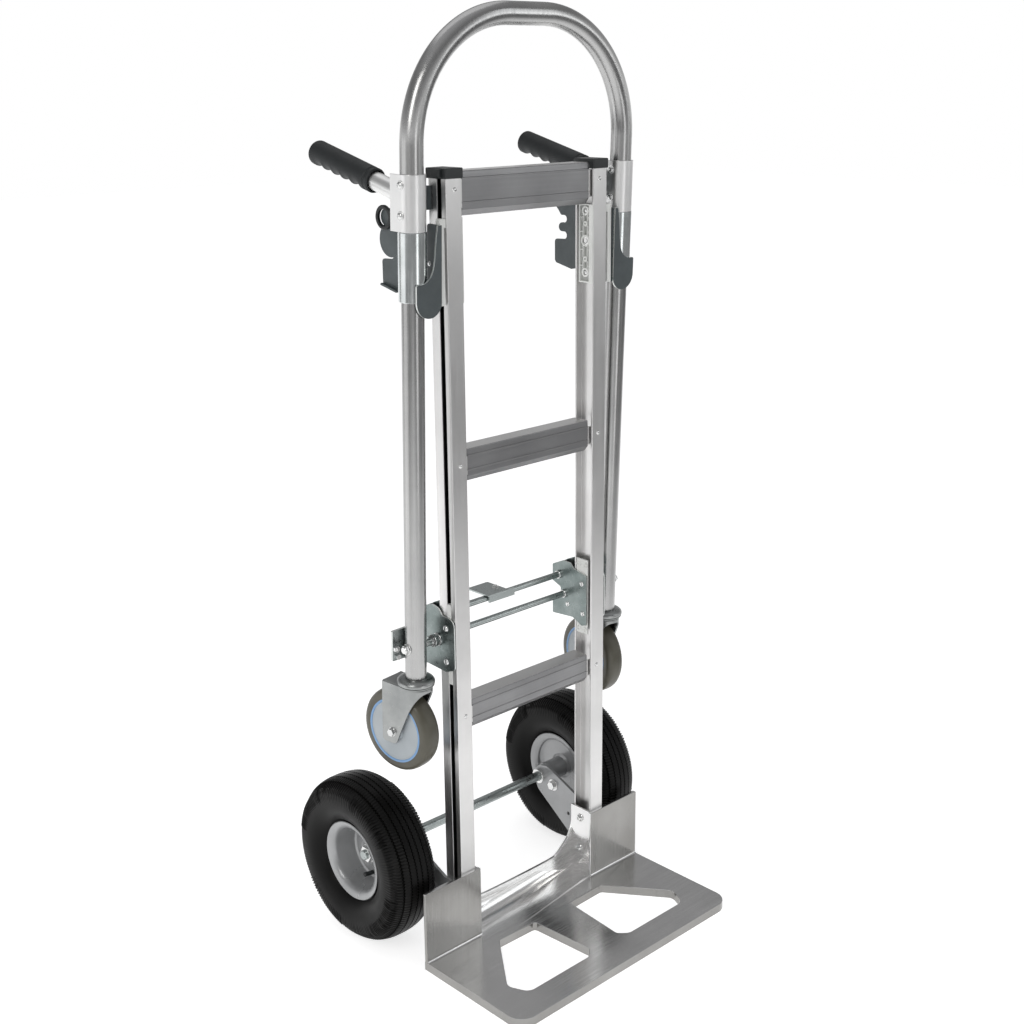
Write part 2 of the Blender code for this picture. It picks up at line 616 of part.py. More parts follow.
def grip(side, sign, pivot):
    y, z = GRIP_BASE
    direction = Vector((0, cos(GRIP_RISE), sin(GRIP_RISE)))
    base = Vector((sign * TUBE_X, y, z))
    rod(side + "_grip_tube", base, base + direction * (GRIP_END - 0.012), GRIP_TUBE_R,
        "aluminium", pivot, sides=18)
    bore = GRIP_TUBE_R + GAP
    length = GRIP_END - GRIP_START
    profile = [(bore, length - 0.008), (0.0, length - 0.008), (0.0, length),
               (GRIP_R - 0.004, length), (GRIP_R, length - 0.005), (GRIP_R, length - 0.012),
               (GRIP_R - 0.0012, 0.012), (GRIP_R, 0.004), (GRIP_R - 0.001, 0.0), (bore, 0.0)]
    turned(side + "_grip", profile, "grip_rubber", base + direction * GRIP_START, direction, pivot,
           steps=20)


def sleeve(side, sign, pivot):
    ring = circle((sign * TUBE_X, 0), SLEEVE_R, 24)
    hole = circle((sign * TUBE_X, 0), TUBE_R + GAP, 24)
    low, high = SLEEVE_LOW, BRACKET_LOW - GAP
    plate(side + "_sleeve", ring, "z", (low + high) / 2, high - low, "zinc", pivot, holes=[hole])


def hook_plate(side, sign, pivot):
    """The side wall next to the rail and the J-shaped foot in front of the tube."""
    front = -SLEEVE_R - GAP - HOOK_WALL
    rear = 0.0045
    near = HOOK_X - HOOK_WALL / 2
    foot_out, foot_top = 0.2085, 0.5185
    wall = plate(side + "_hook_plate", [(front, HOOK_LOW + 0.012), (rear, HOOK_LOW + 0.02),
                                        (rear, HOOK_HIGH), (front, HOOK_HIGH)],
                 "x", sign * HOOK_X, HOOK_WALL, "dark_steel", pivot)
    outline = [(near, HOOK_HIGH), (near, HOOK_LOW + 0.020)]
    outline += arc((near + 0.020, HOOK_LOW + 0.020), 0.020, 180, 270, 5)
    outline += arc((foot_out - 0.022, HOOK_LOW + 0.022), 0.022, 270, 360, 5)
    outline += [(foot_out, foot_top), (0.203, foot_top), (0.192, 0.520), (0.184, 0.5265),
                (0.1795, 0.536), (0.177, 0.5495), (0.1748, 0.5745), (0.172, HOOK_HIGH)]
    foot = plate(side + "_hook_foot", [(sign * x, z) for x, z in outline], "y",
                 front + HOOK_WALL / 2, HOOK_WALL, "dark_steel", pivot)
    combine(wall, [foot], "UNION")


def pivot_block(side, sign, pivot):
    """The clamp plate behind the tube's foot, with a bolt beside the tube."""
    outline = rounded([(sign * 0.175, -0.0215, 0.003), (sign * 0.2255, -0.0205, 0.002),
                       (sign * 0.2255, 0.0255, 0.002), (sign * 0.175, 0.0265, 0.003)])
    front = TUBE_R + GAP + 0.001
    block = plate(side + "_pivot_block", outline, "y", front + 0.0022, 0.0044, "zinc", pivot)
    head = rod(side + "_block_bolt", (sign * 0.2195, front - 0.005, -0.002),
               (sign * 0.2195, front + 0.001, -0.002), 0.0048, "zinc", pivot, sides=12)
    combine(block, [head], "UNION")


# ---------------------------------------------------------------- casters
def caster(side, sign, pivot):
    top = [(0.0255, PLATE_TOP - 0.005), (0.0275, PLATE_TOP - 0.0085), (0.0255, PLATE_LOW),
           (0.0, PLATE_LOW), (0.0, PLATE_TOP), (0.018, PLATE_TOP)]
    turned(side + "_caster_raceway", top, "zinc", (sign * TUBE_X, 0, 0), (0, 0, 1), pivot, steps=24)
    turn = -sign * CASTER_TURN
    swivel = empty(side + "_caster_swivel", (sign * TUBE_X, 0, 0), (0, 0, turn), pivot)
    fork_half = CASTER_HALF + 0.0022 + FORK_WALL
    crown_half = fork_half + 0.0006
    crown = box(side + "_caster_fork", (-crown_half, crown_half), (-0.0255, 0.0480),
                (FORK_TOP - 0.003, FORK_TOP), "zinc", swivel)
    legs = []
    trail, drop = CASTER_TRAIL, -CASTER_DROP
    leg_top = FORK_TOP - 0.0012
    leg = rounded([(-0.0240, leg_top), (-0.0225, FORK_TOP - 0.006, 0.003), (-0.0059, -0.092, 0.03),
                   (0.0110, -0.130, 0.03), (0.0190, -0.1535, 0.010), (0.0475, -0.1535, 0.008),
                   (0.0475, leg_top)])
    for index, across in enumerate((-1, 1)):
        middle = across * (fork_half - FORK_WALL / 2)
        legs.append(plate(side + "_fork_leg_" + str(index), leg, "x", middle, FORK_WALL, "zinc",
                          swivel))
    pin = rod(side + "_caster_pin", (-fork_half - 0.005, trail, drop),
              (fork_half + 0.005, trail, drop), 0.0045, "zinc", swivel, sides=14)
    combine(crown, [*legs, pin], "UNION")
    hub_bore = 0.0049
    tread = [(CASTER_R - 0.004, CASTER_HALF), (CASTER_R - 0.0008, CASTER_HALF - 0.004),
             (CASTER_R, 0.0), (CASTER_R - 0.0008, -CASTER_HALF + 0.004),
             (CASTER_R - 0.004, -CASTER_HALF), (CASTER_HUB_R + GAP, -CASTER_HALF),
             (CASTER_HUB_R + GAP, CASTER_HALF)]
    hub = [(CASTER_HUB_R, 0.0155), (CASTER_HUB_R, -0.0155), (0.042, -0.0155), (0.038, -0.011),
           (0.014, -0.012), (0.012, -0.0172), (hub_bore, -0.0172), (hub_bore, 0.0172),
           (0.012, 0.0172), (0.014, 0.012), (0.038, 0.011), (0.042, 0.0155)]
    for name, profile, finish in (("caster_tread", tread, "caster_rubber"),
                                  ("caster_hub", hub, "caster_hub")):
        turned(side + "_" + name, profile, finish, (0, trail, drop), (1, 0, 0), swivel, steps=32)


rails()
crossbars()
nose_plate()
axle_and_brackets()
upper_station()
main_wheels()
carriage()
release()
handle()
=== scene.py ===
"""The convertible hand truck's looks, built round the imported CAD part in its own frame.

Metres, +Z up, -Y towards the load side, +Y towards the operator, origin on the floor midway
between the rails in the plane of their front faces.
"""

from math import cos, hypot, pi, radians, sin, tan

import bmesh
import bpy
from mathutils import Matrix, Vector


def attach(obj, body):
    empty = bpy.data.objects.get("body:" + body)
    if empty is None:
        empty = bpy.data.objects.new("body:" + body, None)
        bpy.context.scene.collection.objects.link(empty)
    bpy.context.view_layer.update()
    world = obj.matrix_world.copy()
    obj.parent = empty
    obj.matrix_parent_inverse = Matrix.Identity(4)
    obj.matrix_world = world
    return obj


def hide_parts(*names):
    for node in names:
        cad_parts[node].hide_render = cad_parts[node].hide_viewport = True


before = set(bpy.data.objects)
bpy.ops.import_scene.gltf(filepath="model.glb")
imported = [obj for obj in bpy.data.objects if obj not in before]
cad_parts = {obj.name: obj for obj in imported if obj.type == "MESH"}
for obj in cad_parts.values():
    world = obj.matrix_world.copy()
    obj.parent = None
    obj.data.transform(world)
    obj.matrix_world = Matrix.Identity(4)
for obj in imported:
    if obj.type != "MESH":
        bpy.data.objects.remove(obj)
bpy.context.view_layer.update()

SIDES = {"left": -1, "right": 1}

# ---------------------------------------------------------------- sizes, as in the CAD part
RAIL_IN, RAIL_OUT, RAIL_DEPTH = 0.1251, 0.1527, 0.037
RAIL_BOTTOM, RAIL_TOP = 0.0145, 1.156
WEB_IN, WEB_OUT = 0.1365, 0.1395
FLANGE, LIP = 0.0035, 0.0025
SLOT_FRONT, SLOT_REAR = 0.0095, 0.018
CROSSBARS = {"lower": (0.355, 0.402), "middle": (0.731, 0.779), "top": (1.0965, 1.1555)}
BAR_FRONT, BAR_REAR, BAR_HALF, BAR_TAB_HALF = 0.005, 0.033, 0.1205, 0.135
NOSE_HALF, NOSE_FRONT, NOSE_THICK, NOSE_CORNER = 0.2286, -0.208, 0.014, 0.026
WING_TOP, WING_IN, WING_WALL = 0.128, 0.1196, 0.006
LIP_HALF, LIP_REAR, FLANGE_IN = 0.1248, 0.0425, 0.1212
LIP_EDGE = [(0.1246, 0.100), (0.1215, 0.086), (0.112, 0.070), (0.100, 0.0595), (0.088, 0.050),
            (0.077, 0.0455)]
CUT_OUT = [(0.039, -0.039, 0.006), (0.112, -0.037, 0.008), (0.182, -0.130, 0.014),
           (0.168, -0.161, 0.016), (0.044, -0.161, 0.016), (0.030, -0.148, 0.008)]
WHEEL_X, WHEEL_Y, TYRE_R = 0.2194, 0.1452, 0.130
AXLE_R, AXLE_HALF = 0.0079, 0.2265
ARM_IN, ARM_OUT, ARM_BOLT = 0.1530, 0.1580, (0.114, 0.123)
HUB_IN, HUB_OUT = 0.1635, 0.2125
LATCH_X, LATCH_WALL = 0.1665, 0.003
NOTCH_Y, NOTCH_R, NOTCH_Z = 0.099, 0.0055, (1.0424, 1.0668)
BUMPER_Y, BUMPER_Z, BUMPER_R = 0.107, 1.0925, 0.0165
CAM, CAM_WALL = (0.098, 1.0625, 0.0235), 0.0012
STATION_LOW, STATION_HIGH = 0.982, 1.096
PAD_IN = 0.1279
SLIDER_LOW, SLIDER_HIGH = 0.4325, 0.555
INNER_WALL_X, OUTER_WALL_X, WALL = 0.12365, 0.15475, 0.0023
CARRIAGE_FRONT, OUTER_FRONT, CARRIAGE_REAR = 0.0085, 0.0006, 0.083
ROD_R, ROD_HALF = 0.0048, 0.158
UPPER_ROD, LOWER_ROD = (0.068, 0.5195), (0.0565, 0.4905)
PIVOT = Vector((0.0, 0.037, 0.497))
HANDLE_LEAN = radians(1.965)
TUBE_X, TUBE_R, TUBE_FOOT = 0.197, 0.0155, -0.0455
LOOP_R, LOOP_TOP = 0.163, 0.857
BRACKET_LOW, BRACKET_HIGH, BRACKET_R, BRACKET_REAR = 0.585, 0.658, 0.0185, 0.022
SLEEVE_LOW, SLEEVE_R = 0.4935, 0.019
HOOK_LOW, HOOK_HIGH, HOOK_X, HOOK_WALL = 0.4725, 0.593, 0.167, 0.003
GRIP_BASE, GRIP_RISE = (0.0202, 0.631), radians(12.8)
GRIP_TUBE_R, GRIP_R, GRIP_START, GRIP_END = 0.0125, 0.0168, 0.0553, 0.1887
CASTER_HALF, CASTER_TRAIL, CASTER_DROP = 0.016, 0.0285, 0.1355
CASTER_TURN = radians(7.7)
PLATE_TOP, PLATE_LOW, FORK_TOP, FORK_WALL = -0.0458, -0.0578, -0.0582, 0.0028

HANDLE = Matrix.Translation(PIVOT) @ Matrix.Rotation(HANDLE_LEAN, 4, "X")
WORLD = Matrix.Identity(4)


# ---------------------------------------------------------------- materials
def node(tree, kind, inputs=(), **settings):
    """A new shader node, its settings made and its inputs set or linked."""
    made = tree.nodes.new("ShaderNode" + kind)
    for name, value in settings.items():
        setattr(made, name, value)
    for socket, value in dict(inputs).items():
        if isinstance(value, bpy.types.NodeSocket):
            tree.links.new(value, made.inputs[socket])
        else:
            made.inputs[socket].default_value = value
    return made


def shader(name, colour, roughness, metallic=0.0, **sockets):
    """A Principled material, its node tree and its shader."""
    made = bpy.data.materials.new(name)
    made.use_nodes = True
    made.diffuse_color = (*colour, 1.0)
    principled = made.node_tree.nodes["Principled BSDF"]
    values = {"Base Color": (*colour, 1.0), "Roughness": roughness, "Metallic": metallic, **sockets}
    for socket, value in values.items():
        principled.inputs[socket.replace("_", " ")].default_value = value
    return made, made.node_tree, principled


def noise_map(tree, scale, stretch=(1.0, 1.0, 1.0), detail=4.0):
    """Noise in the piece's own coordinates, stretched by scaling each axis."""
    place = node(tree, "TexCoord").outputs["Object"]
    mapped = node(tree, "Mapping", {"Vector": place, "Scale": stretch}).outputs["Vector"]
    return node(tree, "TexNoise", {"Vector": mapped, "Scale": scale, "Detail": detail,
                                   "Roughness": 0.55}).outputs["Fac"]


def spread(tree, value, low, high, start=0.3, end=0.7):
    """A value from start to end, mapped on to low to high."""
    return node(tree, "MapRange", {"Value": value, "From Min": start, "From Max": end,
                                   "To Min": low, "To Max": high}).outputs["Result"]


def mix(tree, share, first, second):
    return node(tree, "Mix", {"Factor": share, "A": (*first, 1.0), "B": (*second, 1.0)},
                data_type="RGBA").outputs["Result"]


def dress(tree, principled, dark, light, clouds, rough, height, strength, depth):
    """Soft patches of tone, a roughness that varies, and a fine bump."""
    raised = node(tree, "Bump", {"Strength": strength, "Distance": depth, "Height": height})
    for socket, source in (("Base Color", mix(tree, spread(tree, clouds, 0.0, 1.0), light, dark)),
                           ("Roughness", rough), ("Normal", raised.outputs["Normal"])):
        tree.links.new(source, principled.inputs[socket])


def metal(name, dark, light, rough_low, rough_high, grain=(1.0, 1.0, 1.0), grain_scale=60.0,
          patch=9.0):
    """Bare or plated metal: a directional grain in roughness and bump, and soft patches of tone."""
    MATERIALS[name], tree, principled = shader(name, light, rough_low, 1.0)
    streaks = noise_map(tree, grain_scale, grain, detail=3.0)
    clouds = noise_map(tree, patch, detail=5.0)
    dress(tree, principled, dark, light, clouds, spread(tree, streaks, rough_low, rough_high),
          streaks, 0.35, 0.00003)


def coated(name, dark, light, rough_low, rough_high, grain_scale=400.0, depth=0.00004, patch=14.0,
           metallic=0.0, **sockets):
    """Paint, plastic or rubber: a fine even texture, and soft patches of tone."""
    MATERIALS[name], tree, principled = shader(name, light, rough_low, metallic, **sockets)
    grain = noise_map(tree, grain_scale, detail=2.0)
    clouds = noise_map(tree, patch, detail=6.0)
    dress(tree, principled, dark, light, clouds, spread(tree, clouds, rough_low, rough_high),
          grain, 0.4, depth)


ALONG_Z, ALONG_X = (6.0, 6.0, 0.12), (0.12, 6.0, 6.0)
MATERIALS = {}
metal("brushed_aluminium", (0.38, 0.38, 0.38), (0.50, 0.50, 0.495), 0.20, 0.30, ALONG_Z)
metal("bracket_aluminium", (0.74, 0.74, 0.74), (0.84, 0.84, 0.835), 0.32, 0.42, ALONG_Z)
metal("rail_aluminium", (0.62, 0.615, 0.61), (0.74, 0.735, 0.73), 0.28, 0.38, ALONG_Z)
metal("mill_aluminium", (0.24, 0.24, 0.245), (0.31, 0.31, 0.315), 0.34, 0.46, ALONG_X)
metal("polished_aluminium", (0.72, 0.72, 0.715), (0.90, 0.895, 0.89), 0.13, 0.26, ALONG_X, patch=5.0)
# a darker copy of the polished aluminium, painted as shade on the nose plate's upright faces
metal("painted_shade_aluminium", (0.25, 0.245, 0.235), (0.36, 0.355, 0.345), 0.16, 0.28, ALONG_Z, patch=7.0)
metal("zinc_plate", (0.35, 0.385, 0.38), (0.45, 0.485, 0.48), 0.24, 0.36, grain_scale=160.0)
metal("dark_zinc", (0.17, 0.205, 0.20), (0.27, 0.305, 0.30), 0.24, 0.38, grain_scale=160.0,
      patch=26.0)
metal("bright_zinc", (0.66, 0.70, 0.70), (0.88, 0.91, 0.91), 0.14, 0.24, ALONG_Z, 90.0, 26.0)
metal("fork_zinc", (0.27, 0.28, 0.28), (0.38, 0.39, 0.385), 0.26, 0.38, grain_scale=140.0,
      patch=22.0)
metal("bright_steel", (0.62, 0.63, 0.63), (0.80, 0.80, 0.79), 0.14, 0.28, grain_scale=220.0)
metal("cut_edge", (0.62, 0.64, 0.63), (0.78, 0.80, 0.78), 0.25, 0.4, grain_scale=220.0)
coated("dark_steel", (0.058, 0.070, 0.074), (0.084, 0.099, 0.104), 0.34, 0.46, patch=30.0)
coated("black_plastic", (0.010, 0.012, 0.013), (0.018, 0.021, 0.022), 0.38, 0.5)
# near-black, painted as shade inside the rails' outer channel
coated("painted_shade_black", (0.008, 0.009, 0.010), (0.016, 0.017, 0.018), 0.45, 0.6)
coated("nylon", (0.68, 0.69, 0.67), (0.78, 0.79, 0.77), 0.40, 0.52)
# a darker copy of the nylon, painted as shade on the guide pads' sunken floor
coated("nylon_painted_shade", (0.34, 0.35, 0.335), (0.44, 0.45, 0.435), 0.45, 0.58)
coated("grip_rubber", (0.014, 0.016, 0.017), (0.026, 0.029, 0.031), 0.48, 0.62, 700.0, 0.00008,
       Specular_IOR_Level=0.35)
coated("tyre_rubber", (0.0020, 0.0020, 0.0020), (0.0055, 0.0053, 0.0050), 0.30, 0.46, 500.0, 0.0001,
       Specular_IOR_Level=0.12)
coated("grey_paint", (0.31, 0.315, 0.32), (0.40, 0.405, 0.41), 0.20, 0.30, 300.0, 0.00003,
       metallic=0.35)
coated("caster_rubber", (0.060, 0.056, 0.041), (0.098, 0.092, 0.068), 0.30, 0.42)
coated("caster_blue", (0.16, 0.30, 0.52), (0.22, 0.38, 0.62), 0.38, 0.5)
coated("caster_hub", (0.35, 0.385, 0.41), (0.44, 0.475, 0.50), 0.38, 0.50)


# ---------------------------------------------------------------- shape kit
def along(axis):
    """The rotation that turns local +Z on to a direction."""
    return Vector((0, 0, 1)).rotation_difference(Vector(axis).normalized()).to_matrix().to_4x4()


def arc(centre, radius, start, end, steps=10):
    """Points of an arc, from one angle in degrees to another."""
    found = []
    for step in range(steps + 1):
        angle = radians(start + (end - start) * step / steps)
        found.append((centre[0] + radius * cos(angle), centre[1] + radius * sin(angle)))
    return found


def flipped(points):
    """A profile's points in the other order, with their heights turned over."""
    return [(radius, -height) for radius, height in reversed(points)]


def circle(centre, radius, sides=40):
    return arc(centre, radius, 0, 360 - 360 / sides, sides - 1)


def rounded(corners, radius=0.0, steps=6):
    """An outline from (x, y) or (x, y, radius) corners, each rounded to its radius."""
    outline = []
    count = len(corners)
    for index, corner in enumerate(corners):
        here = Vector(corner[:2])
        bend = corner[2] if len(corner) > 2 else radius
        if bend == 0.0:
            outline.append(tuple(here))
            continue
        to_last = (Vector(corners[index - 1][:2]) - here).normalized()
        to_next = (Vector(corners[(index + 1) % count][:2]) - here).normalized()
        reach = bend / tan(to_last.angle(to_next) / 2)
        centre = here + (to_last + to_next).normalized() * hypot(reach, bend)
        first = here + to_last * reach - centre
        turn = first.angle_signed(here + to_next * reach - centre)
        for step in range(steps + 1):
            outline.append(tuple(centre + Matrix.Rotation(-turn * step / steps, 2) @ first))
    return outline


FACING = {
    "x": Matrix(((0, 0, 1, 0), (1, 0, 0, 0), (0, 1, 0, 0), (0, 0, 0, 1))),
    "y": Matrix(((1, 0, 0, 0), (0, 0, -1, 0), (0, 1, 0, 0), (0, 0, 0, 1))),
    "z": WORLD,
}


def to_mesh(shape):
    """The mesh of a bmesh, which is freed."""
    mesh = bpy.data.meshes.new("part")
    shape.to_mesh(mesh)
    shape.free()
    return mesh


def ring(radius, sides, centre=(0, 0, 0), across=(1, 0, 0), upward=(0, 1, 0)):
    """Points round a centre, in the plane of two directions."""
    centre, across, upward = Vector(centre), Vector(across), Vector(upward)
    turns = [2 * pi * side / sides for side in range(sides)]
    return [centre + radius * (cos(turn) * across + sin(turn) * upward) for turn in turns]


def skin(rows, wrap=False, cap=False):
    """A skin through rings of points. A row of one point is a pole. wrap joins the last row to
    the first, and cap closes both ends."""
    shape = bmesh.new()
    rings = [[shape.verts.new(point) for point in row] for row in rows]
    sides = max(len(row) for row in rings)
    pairs = list(zip(rings, rings[1:]))
    if wrap:
        pairs.append((rings[-1], rings[0]))
    for lower, upper in pairs:
        if len(lower) + len(upper) == 2:
            continue
        for side in range(sides):
            after = (side + 1) % sides
            corners = [row[index % len(row)] for row, index in
                       ((lower, side), (lower, after), (upper, after), (upper, side))]
            shape.faces.new(list(dict.fromkeys(corners)))
    if cap:
        shape.faces.new(list(reversed(rings[0])))
        shape.faces.new(rings[-1])
    bmesh.ops.recalc_face_normals(shape, faces=shape.faces)
    return to_mesh(shape)


class Kit:
    """Collects closed shells into one mesh, in one frame, and makes an object of them."""

    def __init__(self, name, material, body="truck_frame", matrix=WORLD, others=()):
        self.name, self.body, self.matrix = name, body, matrix
        self.materials = [material, *others]
        self.shape = bmesh.new()

    def add(self, mesh, matrix=WORLD, slot=0):
        """Adds a mesh's shell, moved by the matrix."""
        for polygon in mesh.polygons:
            polygon.material_index = polygon.material_index or slot
        mesh.transform(matrix)
        self.shape.from_mesh(mesh)
        bpy.data.meshes.remove(mesh)
        return self

    def revolve(self, profile, centre=(0, 0, 0), axis=(0, 0, 1), sides=48, slot=0):
        """A solid of revolution from (radius, height) points. An end at radius 0 is a pole."""
        rows = [ring(radius, sides, (0, 0, height)) if radius > 0 else [(0, 0, height)]
                for radius, height in profile]
        bored = profile[0][0] > 0 and profile[-1][0] > 0
        place = Matrix.Translation(Vector(centre)) @ along(axis)
        return self.add(skin(rows, wrap=bored), place, slot)

    def rod(self, start, end, radius, chamfer=0.0005, sides=40):
        start, end = Vector(start), Vector(end)
        length = (end - start).length
        profile = [(0.0, 0.0), (radius - chamfer, 0.0), (radius, chamfer),
                   (radius, length - chamfer), (radius - chamfer, length), (0.0, length)]
        return self.revolve(profile, start, end - start, sides)

    def box(self, xs, ys, zs, bevel=0.0006, slot=0, matrix=WORLD):
        shape = bmesh.new()
        bmesh.ops.create_cube(shape, size=1.0)
        size = [abs(far - near) for near, far in (xs, ys, zs)]
        bmesh.ops.scale(shape, vec=size, verts=shape.verts)
        bmesh.ops.bevel(shape, geom=shape.edges[:], offset=bevel, segments=3, affect="EDGES",
                        profile=0.5)
        centre = Vector((sum(xs) / 2, sum(ys) / 2, sum(zs) / 2))
        return self.add(to_mesh(shape), matrix @ Matrix.Translation(centre), slot)

    def plate(self, outline, facing, low, high, bevel=0.0004, holes=(), edge_slot=0):
        """A flat outline with holes, from low to high along the axis that it faces. edge_slot is
        the material of the cut edge round it."""
        curve = bpy.data.curves.new("part", "CURVE")
        curve.dimensions = "2D"
        curve.fill_mode = "BOTH"
        curve.bevel_depth = bevel
        curve.bevel_resolution = 1
        curve.offset = -bevel
        curve.extrude = abs(high - low) / 2 - bevel
        for points in (outline, *holes):
            spline = curve.splines.new("POLY")
            spline.points.add(len(points) - 1)
            spline.use_cyclic_u = True
            for point, (u, v) in zip(spline.points, points):
                point.co = (u, v, 0.0, 1.0)
        holder = bpy.data.objects.new("part", curve)
        bpy.context.scene.collection.objects.link(holder)
        shape = bmesh.new()
        shape.from_mesh(evaluated_mesh(holder))
        bpy.data.objects.remove(holder)
        bmesh.ops.remove_doubles(shape, verts=shape.verts, dist=1e-6)
        bmesh.ops.recalc_face_normals(shape, faces=shape.faces)
        for face in shape.faces:
            face.material_index = edge_slot if abs(face.normal.z) < 0.9 else 0
        shift = Vector([(low + high) / 2 if axis == facing else 0.0 for axis in "xyz"])
        return self.add(to_mesh(shape), Matrix.Translation(shift) @ FACING[facing])

    def sweep(self, path, radius, sides=40):
        """A round bar along a path, with flat ends."""
        points = [Vector(point) for point in path]
        rows = []
        up = Vector((0, 1, 0))
        for before, point, after in zip(points[:1] + points, points, points[1:] + points[-1:]):
            forward = (after - before).normalized()
            across = forward.cross(up).normalized()
            up = across.cross(forward).normalized()
            rows.append(ring(radius, sides, point, across, up))
        return self.add(skin(rows, cap=True))

    # ------------------------------------------------ fasteners
    def dome(self, point, axis, radius, height):
        """A rivet head."""
        profile = [(0.0, height), (radius * 0.45, height * 0.93), (radius * 0.78, height * 0.66),
                   (radius * 0.96, height * 0.25), (radius, 0.0), (radius, -0.0004), (0.0, -0.0004)]
        return self.revolve(profile, point, axis, 28)

    def washer(self, point, axis, radius, thickness):
        profile = [(0.0, thickness), (radius - 0.0003, thickness), (radius, thickness - 0.0003),
                   (radius, 0.0), (0.0, 0.0)]
        return self.revolve(profile, point, axis, 36)

    def hexagon(self, point, axis, radius, height):
        """A chamfered hexagonal head or nut."""
        shape = bmesh.new()
        bmesh.ops.create_cone(shape, cap_ends=True, segments=6, radius1=radius, radius2=radius,
                              depth=height)
        rims = [edge for edge in shape.edges if abs(edge.verts[0].co.z - edge.verts[1].co.z) < 1e-6]
        bmesh.ops.bevel(shape, geom=rims, offset=radius * 0.09, segments=2, affect="EDGES",
                        profile=0.6)
        middle = Matrix.Translation((0, 0, height / 2))
        return self.add(to_mesh(shape), Matrix.Translation(Vector(point)) @ along(axis) @ middle)

    def bolt(self, point, axis, radius):
        """A washer and a hexagonal head."""
        self.washer(point, axis, radius * 1.35, 0.0011)
        self.hexagon(Vector(point) + Vector(axis) * 0.0011, axis, radius, radius * 0.75)

    def make(self, *stands_for, smooth=35):
        """The object, on its body and in place of the CAD nodes that it stands for."""
        mesh = to_mesh(self.shape)
        mesh.name = self.name
        for material in self.materials:
            mesh.materials.append(MATERIALS[material])
        obj = bpy.data.objects.new(self.name, mesh)
        bpy.context.scene.collection.objects.link(obj)
        obj.matrix_world = self.matrix
        shade(obj, smooth)
        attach(obj, self.body)
        if stands_for:
            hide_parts(*stands_for)
        return obj


def shade(obj, angle):
    """Smooth shading with sharp edges kept, and flat faces kept flat up to their bevels."""
    obj.data.shade_smooth()
    obj.data.set_sharp_from_angle(angle=radians(angle))
    weigh = obj.modifiers.new("weigh", "WEIGHTED_NORMAL")
    weigh.keep_sharp = True
    apply_modifiers(obj)


def evaluated_mesh(obj):
    """A new mesh of an object as its modifiers or its curve settings leave it."""
    bpy.context.view_layer.update()
    return bpy.data.meshes.new_from_object(
        obj.evaluated_get(bpy.context.evaluated_depsgraph_get()))


def apply_modifiers(obj):
    mesh = evaluated_mesh(obj)
    obj.modifiers.clear()
    obj.data = mesh


def union(first, *others):
    """Joins solids that overlap into one skin."""
    for other in others:
        step = first.modifiers.new("join", "BOOLEAN")
        step.operation = "UNION"
        step.solver = "EXACT"
        step.object = other
    apply_modifiers(first)
    for other in others:
        bpy.data.objects.remove(other)
    return first


def span(sign, near, far):
    return (sign * near, sign * far)


# ---------------------------------------------------------------- frame
def rails():
    """Two H-section rails, their outer channel painted near-black as shade, and their rivets."""
    section = rounded([
        (RAIL_IN, 0, 0.0016), (RAIL_OUT, 0, 0.0012), (RAIL_OUT, SLOT_FRONT),
        (RAIL_OUT - LIP, SLOT_FRONT), (RAIL_OUT - LIP, FLANGE), (WEB_OUT, FLANGE),
        (WEB_OUT, RAIL_DEPTH - FLANGE), (RAIL_OUT - LIP, RAIL_DEPTH - FLANGE),
        (RAIL_OUT - LIP, SLOT_REAR), (RAIL_OUT, SLOT_REAR),
        (RAIL_OUT, 0.0262, 0.0004), (RAIL_OUT - 0.0008, 0.0270, 0.0004),
        (RAIL_OUT - 0.0008, RAIL_DEPTH - 0.0008, 0.0012), (RAIL_IN, RAIL_DEPTH, 0.0016),
        (RAIL_IN, RAIL_DEPTH - FLANGE), (WEB_IN, RAIL_DEPTH - FLANGE),
        (WEB_IN, FLANGE), (RAIL_IN, FLANGE),
    ], 0.0007, steps=3)
    for side, sign in SIDES.items():
        kit = Kit(side + "_rail_extrusion", "rail_aluminium", others=["painted_shade_black"])
        kit.plate([(sign * x, y) for x, y in section], "z", RAIL_BOTTOM, RAIL_TOP, bevel=0.0003)
        # Faces inside the outer channel take the near-black material: painted shade in the slot.
        for face in kit.shape.faces:
            middle = face.calc_center_median()
            if WEB_OUT - 0.0003 < abs(middle.x) < RAIL_OUT - LIP + 0.0003 \
                    and FLANGE - 0.0005 < middle.y < RAIL_DEPTH - FLANGE + 0.0005:
                face.material_index = 1
        kit.make(side + "_rail")
        rivets = Kit(side + "_rail_rivets", "bright_steel")
        for level in (1.132, 0.758, 0.3815):
            rivets.dome((sign * 0.1375, 0, level), (0, -1, 0), 0.0034, 0.0014)
        rivets.washer((sign * 0.1400, 0.0145, 1.140), (sign, 0, 0), 0.0052, 0.0014)
        rivets.dome((sign * 0.1412, 0.0145, 1.140), (sign, 0, 0), 0.0042, 0.0022)
        rivets.make()
        rail_cap(side, sign)


def rail_cap(side, sign):
    cap = Kit(side + "_end_cap", "black_plastic")
    cap.box(span(sign, 0.1233, 0.1545), (-0.0018, 0.0388), (1.1462, 1.1600), 0.0016)
    cap.box(span(sign, 0.1530, 0.1590), (0.0060, 0.0240), (1.1480, 1.1588), 0.0014)
    cap.make(side + "_rail_cap")


